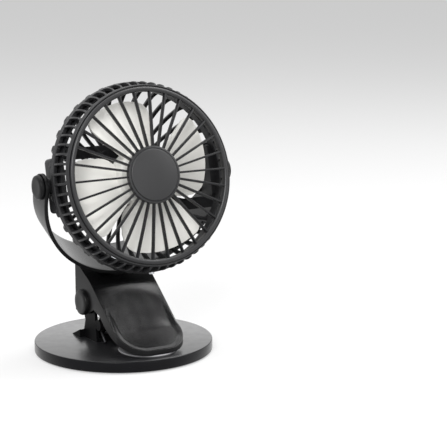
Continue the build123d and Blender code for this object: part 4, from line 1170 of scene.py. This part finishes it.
    def disc(self) -> None:
        """The flat centre disc."""
        seat, radius = self.disc_z - self.disc_recess, self.disc_radius - 0.03
        top = seat + self.disc_height
        piece = Workpiece("centre_disc_cap", HEAD)
        piece.turn([
            (0.0, top), (radius - 0.9, top - 0.02), (radius - 0.3, top - 0.15),
            (radius, top - 0.5), (radius, seat), (0.0, seat),
        ], steps=96)
        piece.done(Body.HEAD, DISC_GREY, "disc_grey", ["centre_disc"], sharp=50)


@dataclass
class RearShell:
    """The rear band, the cage, the motor's arms and cup, and the tilt pods."""

    band_radius: float = 64.3
    seam: float = 3.3
    band_rear: float = 2.2
    tail: float = 1.6
    spigot: float = 60.2
    spigot_wall: float = 1.2
    spigot_front: float = 8.5
    ribs: int = 36
    rib_width: float = 2.4
    rib_start: float = 7.5
    rib_rows: int = 22
    rib_outer: Curve = (65.0, (59.1, -11.8))
    rib_inner: Curve = (61.9, (56.6, -9.9))
    rib_lift: float = 1.92
    rib_sink: float = 0.9
    rib_bite: float = 0.6
    rib_ease: float = 0.55
    foot_width: float = 3.6
    foot_end: float = -6.0
    foot_length: float = 2.5
    hub_radius: float = 24.5
    cage_back: float = -22.5
    hub_thickness: float = 2.0
    arm_off: float = 21.0
    arm_width: float = 8.0
    arm_end: float = 8.2
    arm_outer: Curve = (59.2, (52.9, -11.4))
    arm_inner: Curve = (55.1, (49.5, -9.1))
    arm_lift: float = 3.1
    arm_ease: float = 0.5
    cup_radius: float = 15.83
    motor_radius: float = 14.05
    cup_front: float = -5.0
    cup_floor: float = 3.0
    pod_x: float = 62.5
    pod_half: float = 18.0
    pod_rear: float = -10.5
    pod_depth: float = 8.0
    pod_corner: float = 3.0
    pod_round: float = 2.2
    stub_radius: float = 5.0
    stub_fillet: float = 0.5
    stub_sink: float = 0.05
    stub_out: float = 65.75
    piece: Workpiece = field(default_factory=lambda: Workpiece("rear_shell_cage", HEAD))

    def build(self) -> None:
        """Make the shell as one moulding."""
        self.band()
        self.cage()
        self.motor_arms()
        self.hub()
        self.pods()
        self.stubs()
        # The shell takes the darker copy of the black: painted shade inside the head.
        self.piece.done(Body.HEAD, SATIN_INSIDE_SHADE, "black_shell", ["rear_shell"])

    def band(self) -> None:
        """The smooth rear band with its spigot."""
        radius, seam, rear = self.band_radius, self.seam, self.band_rear
        inner = self.spigot - self.spigot_wall
        middle, end = rear - self.tail / 2, rear - self.tail
        self.piece.turn([
            (inner, self.spigot_front), (self.spigot, self.spigot_front), (self.spigot, seam),
            (radius - 0.25, seam), (radius, seam - 0.25), (radius, middle + 0.2),
            (radius - 0.2, middle - 0.3), (radius - 0.7, end + 0.1), (radius - 1.3, end),
            (inner, rear),
        ], steps=180)

    def arc(self, curve: Curve, end: float, lift: float = 0.0) -> list[Vector]:
        """An arc from the band to the cage's back.

        Args:
            curve: Radius where it leaves the band, and (radius, height) of its middle.
            end: Radius where it ends.
            lift: Height of its end above the cage's back.

        Returns:
            Its points, in the plane of X and Z.
        """
        a, b = Vector((curve[0], self.band_rear)), Vector(curve[1])
        c = Vector((end, self.cage_back + lift))
        ab, cb = b - a, b - c
        first, second = b.length_squared - a.length_squared, b.length_squared - c.length_squared
        centre = Vector((first * cb.y - second * ab.y, ab.x * second - cb.x * first))
        centre /= 2 * (ab.x * cb.y - ab.y * cb.x)
        radius = (a - centre).length
        from_angle = math.atan2(a.y - centre.y, a.x - centre.x)
        to_angle = math.atan2(c.y - centre.y, c.x - centre.x)
        sweep = (to_angle - from_angle) % math.tau - math.tau
        angles = [from_angle + sweep * row / self.rib_rows for row in range(self.rib_rows + 1)]
        return [Vector((centre.x + radius * math.cos(angle), 0.0,
                        centre.y + radius * math.sin(angle))) for angle in angles]

    def cage(self) -> None:
        """The round-backed ribs, wider where they leave the band."""
        end = self.hub_radius - self.rib_bite
        outer = self.arc(self.rib_outer, end)
        inner = self.arc(self.rib_inner, end, self.rib_lift)
        outer[0].x -= self.rib_sink
        stations = []
        for out, inside in zip(outer, inner):
            foot = smooth_step((out.z - self.foot_end) / self.foot_length)
            width = self.rib_width + (self.foot_width - self.rib_width) * foot
            stations.append((out, inside, width / 2))
        rib = self.piece.rail(stations, self.rib_ease)
        self.piece.repeat(rib, self.ribs, self.rib_start)

    def motor_arms(self) -> None:
        """The two straight arms that carry the motor."""
        outer = self.arc(self.arm_outer, self.arm_end)
        inner = self.arc(self.arm_inner, self.arm_end, self.arm_lift)
        for point in outer:
            point.z = max(point.z, self.cage_back + BITE)
        stations = [(out, inside, self.arm_width / 2) for out, inside in zip(outer, inner)]
        arm = self.piece.rail(stations, self.arm_ease)
        bmesh.ops.translate(self.piece.mesh, verts=arm, vec=(0, -self.arm_off, 0))
        self.piece.repeat(arm, 2)

    def hub(self) -> None:
        """The plate behind the motor and the motor's cup."""
        back, front = self.cage_back, self.cage_back + self.hub_thickness
        radius, cup, rim = self.hub_radius, self.cup_radius, self.cup_front
        floor = back + self.cup_floor
        self.piece.turn([
            (0.0, back), (radius - EASE, back), (radius, back + EASE), (radius, front - EASE),
            (radius - EASE, front), (cup, front), (cup, rim + EASE), (cup - EASE, rim),
            (self.motor_radius, rim), (self.motor_radius, floor), (0.0, floor),
        ], steps=96)

    def pods(self) -> None:
        """The side blocks that carry the tilt pivots."""
        size = (self.pod_depth, self.pod_half * 2, self.seam - self.pod_rear)
        centre = (self.pod_x - self.pod_depth / 2, 0, (self.seam + self.pod_rear) / 2)
        made = bmesh.new()
        block = bmesh.ops.create_cube(made, size=1.0)["verts"]
        bmesh.ops.scale(made, vec=size, verts=block)
        bmesh.ops.translate(made, vec=centre, verts=block)
        along_x = [e for e in made.edges if abs(e.verts[0].co.x - e.verts[1].co.x) > 1]
        soften(made, along_x, self.pod_corner, 6)
        outer = [e for e in made.edges
                 if all(abs(vert.co.x - self.pod_x) < 1e-3 for vert in e.verts)]
        soften(made, outer, self.pod_round, 4)
        self.piece.mirrored(self.piece.take(made))

    def stubs(self) -> None:
        """The short round pivots on the pods, on the tilt axis."""
        radius, out, fillet = self.stub_radius, self.stub_out, self.stub_fillet
        foot = self.pod_x - self.stub_sink
        stub = self.piece.turn([
            (0.0, out), (radius - EASE, out), (radius, out - EASE),
            (radius, self.pod_x + fillet), (radius + fillet, foot), (0.0, foot),
        ], steps=40, axis=Axis.X)
        bmesh.ops.translate(self.piece.mesh, verts=stub, vec=(0, 0, -AXIS_BACK))
        self.piece.mirrored(stub)


@dataclass
class Impeller:
    """The four-bladed fan."""

    hub_radius: float = 19.0
    hub_front: float = 12.0
    hub_rear: float = -2.5
    hub_wall: float = 1.6
    sleeve_radius: float = 3.0
    sleeve_rear: float = 3.0
    shaft_radius: float = 1.02
    blades: int = 4
    blade_start: float = 17.0
    root_radius: float = 17.8
    tip_radius: float = 51.2
    swell: tuple[float, float, float] = (0.02, 0.00128, -3.86e-6)
    front_corner: float = 6.0
    front_angle: float = 30.5
    rear_corner: float = 9.0
    rear_turn: float = 25.2
    rear_touch: float = 47.2
    lobe: Profile = ((17.0, 40.0), (19.0, 44.0), (22.0, 48.0), (25.0, 49.2), (28.0, 48.6),
                     (31.0, 46.6), (35.0, 43.4), (40.0, 40.6), (44.0, 37.6), (48.0, 34.2),
                     (52.0, 31.0))
    twist_root: float = 12.0
    twist_run: float = 40.2
    rear_line: tuple[float, float] = (-19.8, -9.2)
    front_line: tuple[float, float] = (8.9, 20.7)
    blade_mid: float = 5.0
    blade_rise: float = 6.25
    blade_thickness: float = 1.5
    blade_edge: float = 0.35
    camber: float = 0.7
    piece: Workpiece = field(default_factory=lambda: Workpiece("impeller_fan", HEAD))

    def build(self) -> None:
        """Make the impeller."""
        self.hub()
        self.blade_set()
        self.piece.done(Body.IMPELLER, CREAM, "blade_cream", ["impeller"], sharp=40)

    def hub(self) -> None:
        """The hub's cup."""
        radius, front, rear = self.hub_radius, self.hub_front, self.hub_rear
        inner, roof, sleeve = radius - self.hub_wall, front - self.hub_wall, self.sleeve_radius
        self.piece.turn([
            (0.0, front), (radius - 2.2, front), (radius - 1.0, front - 0.25),
            (radius - 0.25, front - 1.0), (radius, front - 2.2), (radius, rear),
            (inner, rear), (inner, roof), (sleeve, roof), (sleeve, self.sleeve_rear),
            (self.shaft_radius, self.sleeve_rear),
        ], steps=96)

    def corner_angle(self, radius: float, corner: float) -> float:
        """Angle in degrees that the round of a blade's corner still spans.

        Args:
            radius: Radius on the blade.
            corner: Radius of the corner.

        Returns:
            The angle there.
        """
        reach = self.tip_radius - corner
        if radius <= math.sqrt(reach ** 2 - corner ** 2):
            return math.degrees(math.asin(corner / reach))
        span = (radius ** 2 + reach ** 2 - corner ** 2) / (2 * radius * reach)
        return math.degrees(math.acos(min(1.0, span)))

    def swollen(self, radius: float, angle: float) -> float:
        """A radius, grown by the tip's swell towards the blade's front edge.

        Args:
            radius: The plain radius.
            angle: Angle in degrees from the blade's middle, towards its front edge.

        Returns:
            The grown radius.
        """
        middle, slope, bend = self.swell
        share = (radius - self.root_radius) / (self.tip_radius - self.root_radius)
        return radius * (1 + share * (middle + slope * angle + bend * angle * angle))

    def on_blade(self, along: float, across: float) -> Point:
        """A point of the first blade's sheet.

        Args:
            along: Share of the way from the rear edge to the front edge.
            across: Share of the way from the root to the tip.

        Returns:
            The point.
        """
        blade = self.tip_radius - self.root_radius
        radius = self.root_radius + blade * math.sin(across * math.pi / 2)
        front = min(self.front_angle, self.front_angle - self.corner_angle(0, self.front_corner)
                    + self.corner_angle(radius, self.front_corner))
        rear = read_off(self.lobe, radius, gently=True)
        if radius > self.rear_touch:
            rear = min(rear, self.rear_turn + self.corner_angle(radius, self.rear_corner))
        turn = -rear + (front + rear) * along
        reach, angle = self.swollen(radius, turn), math.radians(turn)
        x, y = reach * math.cos(angle), reach * math.sin(angle)
        out = (x - self.twist_root) / self.twist_run
        low = self.rear_line[0] + self.rear_line[1] * out
        high = self.front_line[0] + self.front_line[1] * out
        share = max(-1.0, min(1.0, 2 * (y - low) / (high - low) - 1))
        rise = self.blade_rise * share + self.camber * (1 - share * share)
        return x, y, self.blade_mid + rise

    def blade_set(self) -> None:
        """One thin cambered blade, repeated round the hub."""
        mesh = sheet(48, 40, self.on_blade)
        bmesh.ops.remove_doubles(mesh, verts=mesh.verts, dist=MELD * 10)
        bmesh.ops.recalc_face_normals(mesh, faces=mesh.faces)
        thicken(mesh, self.blade_thickness, self.blade_edge, 2)
        heights = [vert.co.z for vert in mesh.verts]
        shift = self.blade_mid - (min(heights) + max(heights)) / 2
        bmesh.ops.translate(mesh, verts=mesh.verts, vec=(0, 0, shift))
        self.piece.repeat(self.piece.take(mesh), self.blades, self.blade_start)


# ------------------------------------------------------------------ studio
@dataclass(frozen=True)
class Lamp:
    """A soft square lamp: its name, place and side in metres, and power in watts."""

    name: str
    place: Point
    size: float
    power: float

    def hang(self, aim: Vector) -> None:
        """Hang the lamp.

        Args:
            aim: The point that it looks at, in metres.
        """
        data = bpy.data.lights.new(self.name, "AREA")
        data.size, data.energy = self.size, self.power
        lamp = put_in_scene(self.name, data)
        lamp.location = self.place
        way = aim - Vector(self.place)
        lamp.rotation_euler = way.to_track_quat("-Z", "Y").to_euler()


@dataclass
class Studio:
    """Floor, lamps, world and camera, in metres."""

    lens: float = 124.83
    sensor: float = 36.0
    clip: tuple[float, float] = (0.01, 50.0)
    camera_place: Point = (-0.484554, -0.932002, 0.297421)
    right: Point = (0.85462, -0.51925, 0.0)
    up: Point = (0.10116, 0.16649, 0.98084)
    forward: Point = (0.50930, 0.83825, -0.19482)
    surround: float = 0.35
    floor_half: float = 6.0
    floor_z: float = -0.0004
    floor_albedo: float = 0.38
    floor_glow: float = 0.46
    aim: Point = (0.0, -0.02, 0.09)
    lamps: tuple[Lamp, ...] = (
        Lamp("key_light", (-1.0, -1.2, 1.1), 0.8, 30.0),
        Lamp("fill_light", (1.2, -0.9, 0.9), 0.9, 9.0),
        Lamp("top_light", (0.1, 0.4, 1.6), 1.1, 6.0),
        Lamp("left_light", (-0.75, 0.1, 1.4), 0.6, 7.0),
        Lamp("right_light", (0.8, -0.15, 1.4), 0.8, 13.0),
        Lamp("low_light", (0.2, -1.6, 0.35), 0.7, 2.5),
    )

    def build(self) -> None:
        """Set the studio up."""
        self.camera()
        self.world()
        self.floor()
        for lamp in self.lamps:
            lamp.hang(Vector(self.aim))
        bpy.context.scene.view_settings.view_transform = "Standard"

    def camera(self) -> None:
        """The camera at the photograph's angle."""
        data = bpy.data.cameras.new("camera")
        data.lens, data.sensor_width = self.lens, self.sensor
        data.clip_start, data.clip_end = self.clip
        camera = put_in_scene("camera", data)
        turn = Matrix((self.right, self.up, -Vector(self.forward))).transposed()
        camera.matrix_world = Matrix.Translation(self.camera_place) @ turn.to_4x4()
        bpy.context.scene.camera = camera

    def world(self) -> None:
        """A white surround for the eye and for reflections, and a softer one for light."""
        world = bpy.data.worlds.new("studio")
        bpy.context.scene.world = world
        world.use_nodes = True
        nodes, board = world.node_tree.nodes, Wiring(world.node_tree)
        white = (1.0, 1.0, 1.0, 1.0)
        light = board.fill(nodes["Background"], {"Color": white, "Strength": self.surround})
        seen = board.add("Background", {"Color": white, "Strength": 1.0})
        mix = board.add("MixShader", {
            0: board.seen_rays(), 1: light.outputs[0], 2: seen.outputs[0]})
        board.fill(nodes["World Output"], {"Surface": mix.outputs[0]})

    def floor(self) -> None:
        """A plain pale floor that keeps the fan's shadow."""
        mesh = bmesh.new()
        bmesh.ops.create_grid(mesh, x_segments=1, y_segments=1, size=self.floor_half)
        data = bpy.data.meshes.new("floor")
        mesh.to_mesh(data)
        mesh.free()
        floor = put_in_scene("floor", data)
        floor.location.z = self.floor_z
        material = bpy.data.materials.new("pale_floor")
        material.use_nodes = True
        nodes, board = material.node_tree.nodes, Wiring(material.node_tree)
        albedo, glow = (self.floor_albedo,) * 3, (self.floor_glow,) * 3
        shader = board.fill(nodes["Principled BSDF"], {
            "Base Color": (*albedo, 1.0), "Roughness": 0.9, "Specular IOR Level": 0.0})
        shine = board.add("Emission", {"Color": (*glow, 1.0), "Strength": board.seen_rays()})
        both = board.add("AddShader", {0: shader.outputs[0], 1: shine.outputs[0]})
        board.fill(nodes["Material Output"], {"Surface": both.outputs[0]})
        data.materials.append(material)


def main() -> None:
    """Dress the fan and set up the studio."""
    logging.basicConfig(level=logging.INFO, format="%(name)s: %(message)s")
    dress_nodes()
    for part in (BaseStand(), ClipSprings(), ClipArm(), Yoke(), FrontGrille(), RearShell(),
                 Impeller(), Studio()):
        LOG.info("building %s", type(part).__name__)
        part.build()


if __name__ == "__main__":
    main()
